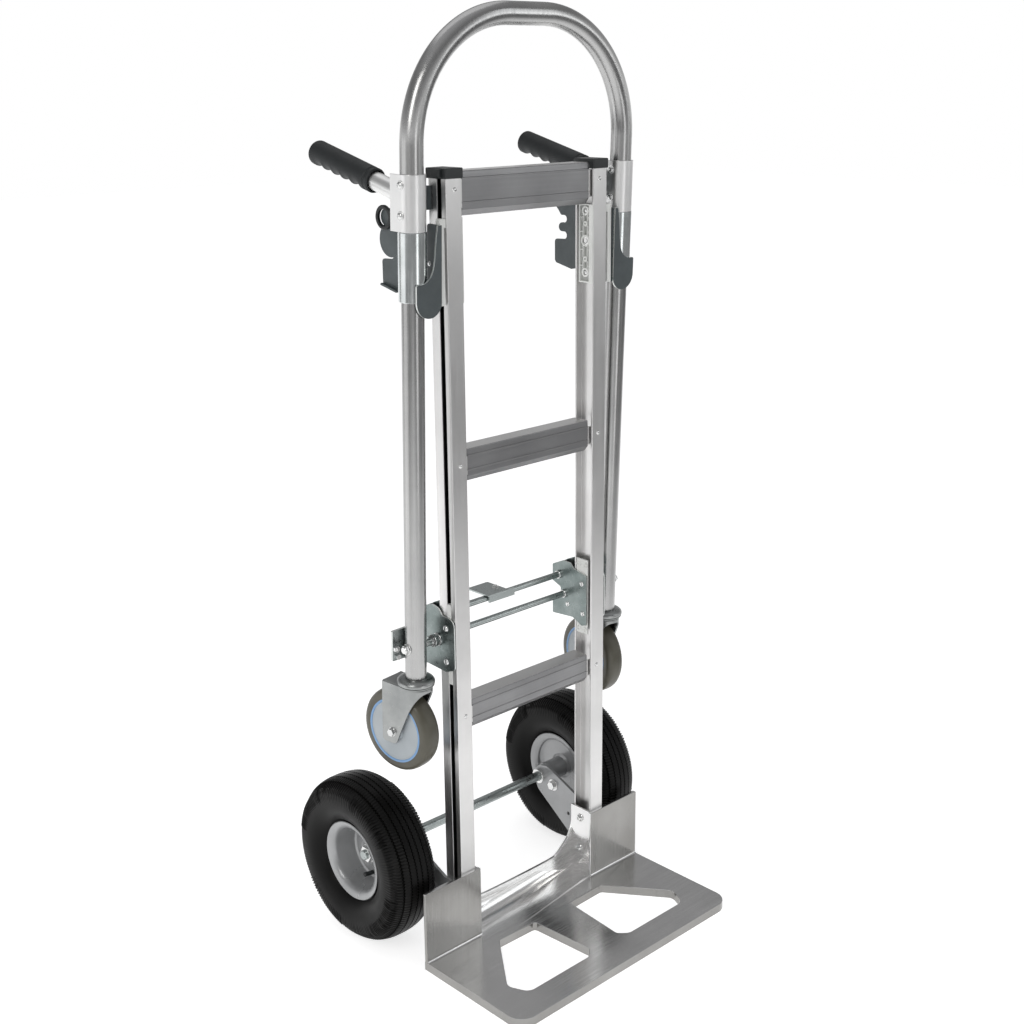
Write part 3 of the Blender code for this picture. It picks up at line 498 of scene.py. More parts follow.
def crossbars():
    """Three channels with ribbed faces and a sloping lower edge, on tabs behind the rails."""
    wall = 0.0026
    for level, (low, high) in CROSSBARS.items():
        front, rear = BAR_FRONT, BAR_REAR
        slope = low + 0.0085
        rib = 0.0007
        profile = [(rear, high, 0.0008), (front + 0.0004, high, 0.0016), (front, high - 0.0085),
                   (front - rib, high - 0.0092), (front - rib, high - 0.0104),
                   (front, high - 0.0111), (front, slope + 0.0105), (front - rib, slope + 0.0098),
                   (front - rib, slope + 0.0086), (front, slope + 0.0079), (front, slope, 0.0012),
                   (front + 0.0070, low, 0.0014), (rear, low, 0.0008), (rear, low + wall, 0.0008),
                   (front + 0.0076, low + wall, 0.0006), (front + wall, slope + 0.0012, 0.0006),
                   (front + wall, high - wall, 0.0008), (rear, high - wall, 0.0008)]
        bar = Kit(level + "_crossbar_channel", "mill_aluminium",
                  others=["rail_aluminium"])
        bar.plate(rounded(profile, steps=4), "x", -BAR_HALF, BAR_HALF, bevel=0.0003)
        bar.box((-BAR_TAB_HALF, BAR_TAB_HALF), (front + 0.0001, front + wall - 0.0002),
                (low + 0.0105, high - 0.0105), 0.0003, slot=1)
        # The upward faces along the top take the paler rail aluminium: a painted highlight.
        for face in bar.shape.faces:
            if face.normal.z > 0.7 and face.calc_center_median().z > high - 0.003:
                face.material_index = 1
        bar.make(level + "_crossbar")


def nose_plate():
    """The load plate with its cut-outs, wings, flanges and scooped rear lip, in one skin."""
    bevel = 0.0007
    foot = rounded([(-NOSE_HALF, 0.0), (-NOSE_HALF, NOSE_FRONT, NOSE_CORNER),
                    (NOSE_HALF, NOSE_FRONT, NOSE_CORNER), (NOSE_HALF, 0.0), (LIP_HALF, 0.0),
                    (LIP_HALF, LIP_REAR), (-LIP_HALF, LIP_REAR), (-LIP_HALF, 0.0)], steps=12)
    holes = [rounded([(sign * x, y, r) for x, y, r in CUT_OUT], steps=8) for sign in (-1, 1)]
    kit = Kit("nose_casting", "polished_aluminium")
    kit.plate(foot, "z", 0.0, NOSE_THICK, bevel=bevel, holes=holes)
    base = kit.make("nose_plate", smooth=40)
    sink = NOSE_THICK - 0.006
    edge = [(x - 0.0002, z - 0.0002) for x, z in LIP_EDGE]
    rear = [(0.0002 - LIP_HALF, sink), (LIP_HALF - 0.0002, sink)] + edge
    rear += [(-x, z) for x, z in reversed(edge)]
    lip = Kit("rear_lip", "polished_aluminium")
    lip.plate(smooth_outline(rear, 2), "y", LIP_REAR - 0.0047, LIP_REAR - 0.0001, bevel=bevel)
    pieces = [lip.make()]
    for side, sign in SIDES.items():
        wing = Kit(side + "_wing", "polished_aluminium")
        outline = rounded([(sign * WING_IN, sink), (sign * WING_IN, WING_TOP, 0.001),
                           (sign * NOSE_HALF, WING_TOP, 0.002), (sign * NOSE_HALF, sink)])
        wing.plate(outline, "y", -WING_WALL, -0.0003, bevel=bevel)
        pieces.append(wing.make())
        flange = Kit(side + "_flange", "polished_aluminium")
        flange.box(span(sign, FLANGE_IN, LIP_HALF - 0.0001), (-0.0055, 0.0400), (sink, WING_TOP),
                   0.0005)
        pieces.append(flange.make())
        corner = Kit(side + "_weld", "polished_aluminium")
        fillet = 0.0045
        arch = [(-WING_WALL + 0.0006, NOSE_THICK - 0.0006)]
        arch += [(-WING_WALL - y, NOSE_THICK + z) for y, z in
                 arc((fillet, fillet), fillet, 270, 180, 6)]
        corner.plate(arch, "x", *span(sign, WING_IN + 0.0006, NOSE_HALF - 0.0006), bevel=0.0)
        pieces.append(corner.make())
    union(base, *pieces)
    # Upright faces away from the rails take a darker copy of the aluminium: painted shade.
    base.data.materials.append(MATERIALS["painted_shade_aluminium"])
    for face in base.data.polygons:
        inside = abs(face.center.x) < RAIL_IN + 0.0005 and face.center.y > -0.0065
        if abs(face.normal.z) < 0.6 and not inside:
            face.material_index = 1
    shade(base, 30)
    for side, sign in SIDES.items():
        bolts = Kit(side + "_nose_bolts", "bright_steel")
        face = sign * FLANGE_IN
        for y, z in ((0.0196, 0.110), (0.0217, 0.054)):
            bolts.washer((face, y, z), (-sign, 0, 0), 0.0072, 0.0009)
            socket = [(0.0, 0.0016), (0.0019, 0.0016), (0.0021, 0.0034), (0.0034, 0.0036),
                      (0.0050, 0.0028), (0.0057, 0.0008), (0.0057, 0.0), (0.0, 0.0)]
            bolts.revolve(socket, (face - sign * 0.0009, y, z), (-sign, 0, 0), 32)
        bolts.make(side + "_nose_bolt")


def smooth_outline(points, skip):
    """Rounds an outline's corners by cutting each twice, all but the first few."""
    for _ in range(2):
        cut = list(points[:skip])
        count = len(points)
        for index in range(skip, count):
            here, after = Vector(points[index]), Vector(points[(index + 1) % count])
            if index == count - 1:
                cut.append(tuple(here))
                continue
            if index == skip:
                cut.append(tuple(here))
            cut.append(tuple(here.lerp(after, 0.25)))
            cut.append(tuple(here.lerp(after, 0.75)))
        points = cut
    return points


def axle_and_brackets():
    """The steel arms at the rails' feet, and the axle through them."""
    outline = rounded([(0.006, 0.018, 0.004), (0.034, 0.018, 0.004), (0.152, 0.104, 0.02),
                       (0.166, 0.146, 0.022), (0.128, 0.152, 0.018), (0.034, 0.112, 0.004),
                       (0.006, 0.112, 0.004)], steps=8)
    for side, sign in SIDES.items():
        kit = Kit(side + "_axle_arm", "grey_paint")
        kit.plate(outline, "x", *span(sign, ARM_IN, ARM_OUT), bevel=0.0006,
                  holes=[circle((WHEEL_Y, TYRE_R), 0.0082), circle((0.078, 0.083), 0.003, 20)])
        kit.make(side + "_axle_bracket")
        bolts = Kit(side + "_axle_bolts", "bright_steel")
        bolts.bolt((sign * ARM_IN, *ARM_BOLT), (-sign, 0, 0), 0.0075)
        bolts.bolt((sign * ARM_OUT, *ARM_BOLT), (sign, 0, 0), 0.0060)
        collar = [(0.0125, 0.0), (0.0125, 0.0060), (0.0118, 0.0066), (0.0084, 0.0066),
                  (0.0084, 0.0)]
        bolts.revolve(collar, (sign * ARM_IN, WHEEL_Y, TYRE_R), (-sign, 0, 0))
        bolts.make()
        nut = Kit(side + "_hub_nut", "bright_steel")
        nut.washer((sign * (HUB_OUT + 0.0005), WHEEL_Y, TYRE_R), (sign, 0, 0), 0.0150, 0.0014)
        nut.hexagon((sign * (HUB_OUT + 0.0018), WHEEL_Y, TYRE_R), (sign, 0, 0), 0.0132, 0.0078)
        nut.make(side + "_axle_nut")
    axle = Kit("axle_rod", "zinc_plate")
    axle.rod((-AXLE_HALF, WHEEL_Y, TYRE_R), (AXLE_HALF, WHEEL_Y, TYRE_R), AXLE_R, 0.0012)
    axle.make("axle")


# ---------------------------------------------------------------- upper station
def upper_station():
    for side, sign in SIDES.items():
        guide_pad(side, sign)
        block = Kit(side + "_guide_block", "nylon")
        block.box(span(sign, 0.1564, 0.1637), (0.0005, 0.0094), (STATION_LOW, STATION_HIGH), 0.0009)
        block.box(span(sign, 0.1530, 0.1570), (0.0010, 0.0090), (1.084, STATION_HIGH - 0.0004), 0.0005)
        block.make(side + "_outer_guide_block")
        latch_plate(side, sign)
        bumper = Kit(side + "_bumper_ring", "black_plastic")
        start = sign * (LATCH_X + LATCH_WALL / 2 + CAM_WALL + 0.0003)
        profile = [(BUMPER_R - 0.0010, 0.0), (BUMPER_R, 0.0010), (BUMPER_R, 0.0038),
                   (BUMPER_R - 0.0014, 0.0050), (0.0126, 0.0050), (0.0115, 0.0040), (0.0115, 0.0)]
        bumper.revolve(profile, (start, BUMPER_Y, BUMPER_Z), (sign, 0, 0))
        bumper.make(side + "_bumper")


def guide_pad(side, sign):
    """A moulded pad with a raised border, bosses and screws on its inner face, and painted shade on
    its sunken floor.
    """
    pad = Kit(side + "_guide_pad", "nylon", others=["nylon_painted_shade"])
    top, floor = PAD_IN + 0.0001, PAD_IN + 0.0042
    low, high, inset = STATION_LOW + 0.0001, STATION_HIGH - 0.0001, 0.0022
    # The sunken floor takes the darker nylon: painted shade between the raised parts.
    pad.box(span(sign, floor, WEB_IN - 0.0003), (0.0047, 0.0323), (low, high), 0.0005, slot=1)
    hollow = rounded([(0.0046 + inset, low + inset), (0.0324 - inset, low + inset),
                      (0.0324 - inset, high - inset), (0.0046 + inset, high - inset)], 0.002)
    pad.plate([(0.0046, low), (0.0324, low), (0.0324, high), (0.0046, high)], "x",
              *span(sign, top, floor + 0.0003), bevel=0.0003, holes=[hollow])
    pad.box(span(sign, 0.1236, PAD_IN + 0.0010), (0.0006, 0.0080), (low, high), 0.0006)
    middle = 0.0195
    bosses = ((1.0860, 0.0070, 0.0040), (1.0675, 0.0042, 0.0017), (1.0430, 0.0086, 0.0060),
              (1.0165, 0.0042, 0.0017), (0.9970, 0.0070, 0.0040))
    for level, outer, bore in bosses:
        pad.revolve([(outer, -0.0003), (outer, 0.0034), (outer - 0.0005, 0.0040),
                     (bore, 0.0040), (bore, -0.0003)],
                    (sign * floor, middle, level), (-sign, 0, 0), 32)
    for (upper, wide, _), (lower, broad, _) in zip(bosses, bosses[1:]):
        for shift in (-0.0042, 0.0042):
            pad.box(span(sign, floor + 0.0003, top + 0.0002),
                    (middle + shift - 0.0007, middle + shift + 0.0007),
                    (lower + broad * 0.7, upper - wide * 0.7), 0.0002)
    for level in (1.0765, 1.0560, 1.0300, 1.0067):
        for near, far in ((0.0066, 0.0154), (0.0236, 0.0306)):
            pad.box(span(sign, floor + 0.0003, top + 0.0006), (near, far),
                    (level - 0.0006, level + 0.0006), 0.0002)
    pad.make(side + "_inner_guide_pad")
    screws = Kit(side + "_pad_screws", "bright_steel")
    for level in (1.0860, 0.9970):
        screws.dome((sign * (floor - 0.0016), middle, level), (-sign, 0, 0), 0.0037, 0.0016)
        screws.revolve([(0.0034, -0.0024), (0.0034, 0.0002), (0.0, 0.0002), (0.0, -0.0024)],
                       (sign * (floor - 0.0016), middle, level), (-sign, 0, 0), 20)
    screws.revolve([(0.0059, -0.0002), (0.0059, 0.0032), (0.0046, 0.0034), (0.0043, 0.0014),
                    (0.0033, 0.0014), (0.0030, 0.0030), (0.0, 0.0030), (0.0, -0.0002)],
                   (sign * floor, middle, 1.0430), (-sign, 0, 0), 32)
    screws.make()


def latch_plate(side, sign):
    """A notched plate with a bent foot and a tab to the rail. The left one has a round cam."""
    tip = NOTCH_Y + 0.006
    low, high = NOTCH_Z
    outline = rounded([(0.026, 1.103, 0.003), (0.026, 1.140, 0.004), (0.044, 1.140, 0.006),
                       (0.075, 1.112, 0.006), (BUMPER_Y, BUMPER_Z + 0.012)])[:-1]
    outline += arc((BUMPER_Y, BUMPER_Z), 0.012, 110, -60, 14)
    outline += [(tip + 0.0015, high + NOTCH_R + 0.0012), (tip, high + NOTCH_R)]
    outline += arc((NOTCH_Y, high), NOTCH_R, 90, 270, 14)
    middle = (low + high) / 2
    nub = (high - low) / 2 - NOTCH_R
    outline += arc((tip - 0.0012, middle), nub, 90, -90, 10)
    outline += arc((NOTCH_Y, low), NOTCH_R, 90, 270, 14)
    outline += rounded([(tip, low - NOTCH_R), (0.1190, low - NOTCH_R - 0.001, 0.0045),
                        (0.1190, 1.0027, 0.002), (0.0815, 0.994, 0.004), (0.057, 0.996, 0.003),
                        (0.055, 1.090, 0.008), (0.044, 1.103, 0.006), (0.0285, 1.1029)])[1:-1]
    face = sign * (LATCH_X + LATCH_WALL / 2)
    kit = Kit(side + "_latch", "dark_steel", others=["cut_edge"])
    kit.plate(outline, "x", *span(sign, LATCH_X - 0.0015, LATCH_X + 0.0015), bevel=0.0003)
    tilt = Matrix.Translation((0, 0.1005, 0.998)) @ Matrix.Rotation(radians(13), 4, "X")
    kit.box(span(sign, LATCH_X - 0.0010, LATCH_X + 0.0075), (-0.017, 0.0175), (-0.0015, 0.0015),
            0.0004, matrix=tilt)
    kit.box(span(sign, RAIL_OUT + 0.0003, LATCH_X - 0.0010), (0.028, 0.036), (1.106, 1.137), 0.0005)
    if side == "left":
        y, z, radius = CAM
        edge = arc((y, z), radius, 100, 250, 30) + arc((y, z), radius, 250, 460, 40)[1:-1]
        kit.plate(edge, "x", face - sign * 0.0002, face + sign * CAM_WALL, bevel=0.0002, edge_slot=1)
    kit.make(side + "_latch_plate")
    bolts = Kit(side + "_latch_bolts", "zinc_plate")
    bolts.dome((face, 0.032, 1.122), (sign, 0, 0), 0.0042, 0.0020)
    bolts.make()


# ---------------------------------------------------------------- main wheels
TYRE_PROFILE = [(0.0536, 0.0251), (0.0575, 0.0262), (0.0612, 0.0262), (0.0640, 0.0266),
                (0.0680, 0.0312), (0.0740, 0.0360), (0.0810, 0.0395), (0.0890, 0.0415),
                (0.0970, 0.0420), (0.1030, 0.0416)]


def tyre(side, sign):
    """A tube tyre: smooth sidewalls with short ridges, and zigzag ribs round the tread."""
    sides, pitch = 640, 160
    crown = crown_profile()
    half = TYRE_PROFILE + crown
    whole = half + flipped(half[:-1]) + [(0.0514, -0.0229), (0.0514, 0.0229)]
    rows = []
    for index in range(sides):
        turn = 2 * pi * index / sides
        wave = 0.0011 * zigzag(index * pitch / sides)
        ridge = sidewall_ridge(turn)
        tooth = 1.0 if index % 4 < 2 else 0.0
        row = []
        for radius, height in whole:
            grow = 0.0
            shift = 0.0
            if abs(height) < 0.0365 and radius > 0.112:
                shift = wave if abs(height) > 0.001 else 0.0
            reach = radius
            if 0.0280 < abs(height) < 0.0400 and radius > 0.105:
                reach -= 0.0013 * tooth
            if 0.101 < radius < 0.1195 and abs(height) > 0.031:
                grow = ridge * 0.0013
                reach += ridge * 0.0006
            out = height + (shift if height >= 0 else -shift)
            out += grow if height > 0 else -grow
            row.append(Vector((out * sign, reach * cos(turn), reach * sin(turn))))
        rows.append(row)
    matrix = Matrix.Translation((sign * WHEEL_X, WHEEL_Y, TYRE_R))
    kit = Kit(side + "_tyre_rubber", "tyre_rubber", side + "_main_wheel", matrix)
    kit.add(skin(rows, wrap=True))
    kit.make(side + "_tyre", smooth=28)


def zigzag(share):
    part = share % 1.0
    return 4 * abs(part - 0.5) - 1


def sidewall_ridge(turn):
    """1 on a short ridge, 0 between: four groups of ridges round each sidewall."""
    group = (turn / (2 * pi) * 4) % 1.0
    level = 0.0 if (turn / (2 * pi) * 160) % 1.0 < 0.5 else 1.0
    return level if 0.10 < group < 0.62 else 0.35 * level


def crown_profile():
    """Half of the tread's outline, from the shoulder to its middle: ribs with grooves between."""
    def surface(height):
        share = min(height / 0.0420, 1.0)
        return 0.1030 + 0.0269 * (1 - share ** 2.6) ** (1 / 2.0)

    points = []
    for groove, rib in (
        ((), (0.0412, 0.0405, 0.0392, 0.0372, 0.0345, 0.0315, 0.0283)),
        ((0.0277, 0.0262), (0.0259, 0.0210, 0.0168)),
        ((0.0165, 0.0150), (0.0147, 0.0100, 0.0058)),
        ((0.0055, 0.0040), (0.0037, 0.0)),
    ):
        points += [(surface(height) - 0.0034, height) for height in groove]
        points += [(surface(height), height) for height in rib]
    return points


def rim(side, sign):
    """A pressed rim with a deep dish, a hub and a valve stem."""
    matrix = Matrix.Translation((sign * WHEEL_X, WHEEL_Y, TYRE_R))
    kit = Kit(side + "_rim_pressing", "grey_paint", side + "_main_wheel", matrix)
    near, far = HUB_IN - WHEEL_X, HUB_OUT - WHEEL_X
    bore = AXLE_R + 0.0004
    seat = [(0.0615, 0.0296), (0.0625, 0.0288), (0.0622, 0.0276), (0.0580, 0.0268),
            (0.0535, 0.0256), (0.0511, 0.0236)]
    back = [(0.0580, -0.0286), (0.0545, -0.0276), (0.0515, -0.0262), (0.0494, -0.0236),
            (0.0490, -0.0190), (0.0465, -0.0170), (0.0440, -0.0165), (0.0300, -0.0160),
            (0.0220, -0.0158), (0.0175, -0.0185)]
    hub = [(0.0175, near + 0.001), (0.0165, near), (bore, near), (bore, far), (0.0165, far),
           (0.0175, far - 0.001)]
    dish = [(0.0175, -0.0105), (0.0200, -0.0120), (0.0250, -0.0122), (0.0262, -0.0108),
            (0.0340, -0.0110), (0.0352, -0.0126), (0.0420, -0.0134), (0.0452, -0.0116),
            (0.0464, -0.0080), (0.0470, 0.0040), (0.0476, 0.0090), (0.0484, 0.0140),
            (0.0492, 0.0190), (0.0503, 0.0228), (0.0526, 0.0256), (0.0555, 0.0276),
            (0.0590, 0.0290)]
    kit.revolve(seat + [(0.0511, 0.0)] + flipped(seat) + back + hub + dish, axis=(sign, 0, 0),
                sides=96)
    kit.make(side + "_rim", smooth=30)
    trim = Kit(side + "_valve", "black_plastic", side + "_main_wheel", matrix)
    trim.rod((sign * -0.0120, 0.0, -0.036), (sign * 0.0060, 0.0, -0.0335), 0.0034, 0.0008, 24)
    trim.make()


def main_wheels():
    for side, sign in SIDES.items():
        tyre(side, sign)
        rim(side, sign)


# ---------------------------------------------------------------- carriage
def carriage():
    """Hinge plates inside and outside each rail, joined at the rear, with sliders and a rod."""
    inner = rounded([(CARRIAGE_FRONT, 0.530, 0.002), (0.0364, 0.536, 0.004), (0.0430, 0.5435, 0.002),
                     (0.0595, 0.5445, 0.002), (CARRIAGE_REAR, 0.5335, 0.002),
                     (CARRIAGE_REAR, 0.506, 0.002), (0.0650, 0.499, 0.003), (0.0650, 0.488, 0.003),
                     (CARRIAGE_REAR, 0.480, 0.002), (CARRIAGE_REAR, 0.4515, 0.002),
                     (0.0386, 0.455, 0.004), (0.0187, 0.4455, 0.004), (CARRIAGE_FRONT, 0.449, 0.003)])
    outer = rounded([(OUTER_FRONT, 0.5345, 0.013), (0.0258, 0.5355, 0.005), (0.0350, 0.5455, 0.003),
                     (0.0475, 0.5480, 0.003), (0.0606, 0.5435, 0.003), (CARRIAGE_REAR, 0.5335, 0.002),
                     (CARRIAGE_REAR, 0.4515, 0.002), (0.0604, 0.4530, 0.004), (0.0201, 0.4505, 0.008),
                     (OUTER_FRONT, 0.4585, 0.007)], steps=10)
    for side, sign in SIDES.items():
        kit = Kit(side + "_hinge_plates", "dark_zinc", "carriage", others=["cut_edge"])
        bores = [circle(UPPER_ROD, ROD_R + 0.0003), circle(LOWER_ROD, ROD_R + 0.0003)]
        for middle, outline in ((INNER_WALL_X, inner), (OUTER_WALL_X, outer)):
            kit.plate(outline, "x", *span(sign, middle - WALL / 2, middle + WALL / 2),
                      bevel=0.0005, holes=bores, edge_slot=1)
        for low, high in ((0.507, 0.533), (0.453, 0.479)):
            kit.box(span(sign, INNER_WALL_X - 0.0008, OUTER_WALL_X + 0.0008),
                    (CARRIAGE_REAR - 0.0025, CARRIAGE_REAR - 0.0001), (low, high), 0.0003)
        kit.make(side + "_hinge_bracket")
        rivets = Kit(side + "_hinge_rivets", "bright_steel", "carriage")
        for y, z in ((0.0189, 0.515), (0.0166, 0.466), (0.0495, 0.474)):
            rivets.dome((sign * (INNER_WALL_X - WALL / 2), y, z), (-sign, 0, 0), 0.0042, 0.0020)
        for y, z in ((0.0185, 0.518), (0.0185, 0.467)):
            rivets.dome((sign * (OUTER_WALL_X + WALL / 2), y, z), (sign, 0, 0), 0.0050, 0.0030)
        for y, z in (UPPER_ROD, LOWER_ROD):
            rivets.revolve([(0.0066, 0.0), (0.0066, 0.0040), (0.0060, 0.0046), (0.0051, 0.0046),
                            (0.0051, 0.0)], (sign * (INNER_WALL_X - WALL / 2), y, z), (-sign, 0, 0))
        rivets.make()
        sliders(side, sign)
        pivot_stud(side, sign)
    kit = Kit("lower_cross_rod", "zinc_plate", "carriage")
    kit.rod((-ROD_HALF, *LOWER_ROD), (ROD_HALF, *LOWER_ROD), ROD_R)
    kit.make("lower_rod")


def sliders(side, sign):
    kit = Kit(side + "_inner_slide_block", "nylon", "carriage")
    near = INNER_WALL_X + WALL / 2 + 0.0003
    kit.box(span(sign, near, PAD_IN - 0.0003), (CARRIAGE_FRONT, 0.0325), (SLIDER_LOW, SLIDER_HIGH),
            0.0005)
    for low, high in ((0.5385, 0.5535), (0.434, 0.4445)):
        for y in (0.0130, 0.0275):
            kit.revolve([(0.0040, 0.0), (0.0040, 0.0012), (0.0024, 0.0012), (0.0024, 0.0)],
                        (sign * near, y, (low + high) / 2), (-sign, 0, 0), 24)
    kit.make(side + "_inner_slider")
    kit = Kit(side + "_outer_slide_block", "nylon", "carriage")
    kit.box(span(sign, WEB_OUT + 0.0003, OUTER_WALL_X - WALL / 2 - 0.0003),
            (SLOT_FRONT + 0.0004, SLOT_REAR - 0.0004), (SLIDER_LOW, SLIDER_HIGH), 0.0006)
    kit.make(side + "_outer_slider")


def pivot_stud(side, sign):
    """A stud from the carriage out through the tube's foot, with its nuts and washers."""
    face = sign * (OUTER_WALL_X + WALL / 2 + 0.0003)
    out = (sign, 0, 0)
    base = Vector((face, PIVOT.y, PIVOT.z))
    step = Vector(out)
    kit = Kit(side + "_pivot_bolt", "bright_steel", "carriage")
    kit.washer(base, out, 0.0096, 0.0016)
    kit.hexagon(base + step * 0.0016, out, 0.0088, 0.0070)
    kit.washer(base + step * 0.0088, out, 0.0094, 0.0014)
    kit.hexagon(base + step * 0.0104, out, 0.0074, 0.0030)
    end = TUBE_X + TUBE_R + 0.0072
    kit.rod(base + step * 0.010, (sign * end, PIVOT.y, PIVOT.z), 0.0054, 0.0008)
    kit.make(side + "_pivot_stud")


def release():
    """The upper cross rod, and the foot pedal clamped on it."""
    y, z = UPPER_ROD
    kit = Kit("release_cross_rod", "zinc_plate", "release")
    kit.rod((-ROD_HALF, y, z), (ROD_HALF, y, z), ROD_R)
    kit.make("release_rod")
    kit = Kit("foot_pedal", "zinc_plate", "release")
    tread = rounded([(-0.038, y - 0.0100), (0.004, y - 0.0100), (0.004, y + 0.038, 0.003),
                     (-0.038, y + 0.038, 0.003)])
    kit.plate(tread, "z", z + ROD_R + 0.0003, z + ROD_R + 0.0028, bevel=0.0004)
    kit.box((-0.034, 0.018), (y - 0.0085, y - 0.0051), (z - 0.0055, z + ROD_R + 0.0024), 0.0005)
    kit.make("release_pedal")
    kit = Kit("clamp_bolt", "bright_steel", "release")
    kit.rod((-0.006, y + 0.009, z - 0.010), (-0.006, y + 0.009, z + ROD_R), 0.003, 0.0004, 24)
    kit.hexagon((-0.006, y + 0.009, z - 0.0085), (0, 0, 1), 0.0052, 0.0036)
    kit.bolt((-0.006, y + 0.009, z + ROD_R + 0.0028), (0, 0, 1), 0.0040)
    kit.make("pedal_bolt")


# ---------------------------------------------------------------- handle frame
def handle():
    flat, centre = TUBE_X - LOOP_R, LOOP_TOP - LOOP_R
    path = [(-TUBE_X, 0.0, TUBE_FOOT + 0.0001), (-TUBE_X, 0.0, 0.3)]
    path += [(x, 0.0, z) for x, z in arc((-flat, centre), LOOP_R, 180, 90, 40)]
    path += [(x, 0.0, z) for x, z in arc((flat, centre), LOOP_R, 90, 0, 40)]
    path += [(TUBE_X, 0.0, 0.3), (TUBE_X, 0.0, TUBE_FOOT + 0.0001)]
    kit = Kit("loop_tube", "brushed_aluminium", "handle_frame", HANDLE)
    kit.sweep(path, TUBE_R, 56)
    kit.make("handle_tube", smooth=50)
    for side, sign in SIDES.items():
        bracket(side, sign)
        grip(side, sign)
        sleeve(side, sign)
        hook(side, sign)
        pivot_block(side, sign)


def bracket(side, sign):
    """A U bracket round the tube's front, bolted through both cheeks."""
    inner = TUBE_R + 0.0003
    outline = [(BRACKET_R, BRACKET_REAR)] + arc((0, 0), BRACKET_R, 0, -180, 24)
    outline += [(-BRACKET_R, BRACKET_REAR), (-inner, BRACKET_REAR)]
    outline += arc((0, 0), inner, 180, 360, 24) + [(inner, BRACKET_REAR)]
    kit = Kit(side + "_grip_bracket", "bracket_aluminium", "handle_frame", HANDLE)
    kit.plate([(sign * TUBE_X + x, y) for x, y in outline], "z", BRACKET_LOW, BRACKET_HIGH, 0.0003)
    kit.make(side + "_handle_bracket")
    bolts = Kit(side + "_bracket_bolts", "bright_steel", "handle_frame", HANDLE)
    for level in (0.606, 0.645):
        for way in (-1, 1):
            point = (sign * TUBE_X + way * BRACKET_R, 0.0015, level)
            bolts.washer(point, (way, 0, 0), 0.0062, 0.0007)
            bolts.dome((point[0] + way * 0.0007, 0.0015, level), (way, 0, 0), 0.0046, 0.0024)
    bolts.make()


def grip(side, sign):
    """A tube stub, and its rubber grip as rings whose undersides dip between the fingers."""
    direction = Vector((0, cos(GRIP_RISE), sin(GRIP_RISE)))
    across = Vector((1, 0, 0))
    upward = across.cross(direction)
    base = Vector((sign * TUBE_X, *GRIP_BASE))
    stub = Kit(side + "_grip_stub", "bracket_aluminium", "handle_frame",
               HANDLE @ Matrix.Translation(base) @ along(direction))
    stub.rod((0, 0, 0), (0, 0, GRIP_START + 0.04), GRIP_TUBE_R)
    stub.make(side + "_grip_tube")
    length, count, sides = GRIP_END - GRIP_START, 132, 64
    bore_end = base + direction * (GRIP_START + 0.006)
    rows = [ring(GRIP_TUBE_R + 0.0003, sides, bore_end, across, upward)]
    for step in range(count + 1):
        reach = length * step / count
        widest = grip_radius(reach, length)
        row = []
        for index in range(sides):
            turn = 2 * pi * index / sides
            under = max(0.0, -sin(turn)) ** 1.3
            radius = widest - scallop(reach, length) * under
            row.append(base + direction * (GRIP_START + reach)
                       + radius * (cos(turn) * across + sin(turn) * upward))
        rows.append(row)
    rubber = Kit(side + "_rubber_grip", "grip_rubber", "handle_frame", HANDLE)
    rubber.add(skin(rows, cap=True))
    rubber.make(side + "_grip", smooth=45)


def grip_radius(reach, length):
    """A rounded collar at the front, a groove behind it and a rounder end."""
    groove = 0.0010 if 0.0055 < reach < 0.0095 else 0.0
    return GRIP_R - max(corner_drop(reach, 0.0022), corner_drop(length - reach, 0.0055)) - groove


def corner_drop(reach, bend):
    """How far a rounded corner falls away at a distance from the end."""
    return bend - (bend ** 2 - max(bend - reach, 0.0) ** 2) ** 0.5


def scallop(reach, length):
    """How deep the finger rests are at a distance along the grip."""
    start, end, count = 0.018, length - 0.012, 5
    if not start < reach < end:
        return 0.0
    part = (reach - start) / (end - start) * count % 1.0
    return 0.0036 * sin(pi * part) ** 0.7


def sleeve(side, sign):
    """A plated sleeve on the tube, under the bracket."""
    kit = Kit(side + "_zinc_sleeve", "bright_zinc", "handle_frame", HANDLE)
    low, high = SLEEVE_LOW, BRACKET_LOW - 0.0003
    profile = [(SLEEVE_R, low + 0.0006), (SLEEVE_R, high - 0.0006), (SLEEVE_R - 0.0006, high),
               (TUBE_R + 0.0003, high), (TUBE_R + 0.0003, low), (SLEEVE_R - 0.0006, low)]
    kit.revolve(profile, (sign * TUBE_X, 0, 0), (0, 0, 1), 72)
    kit.make(side + "_sleeve")


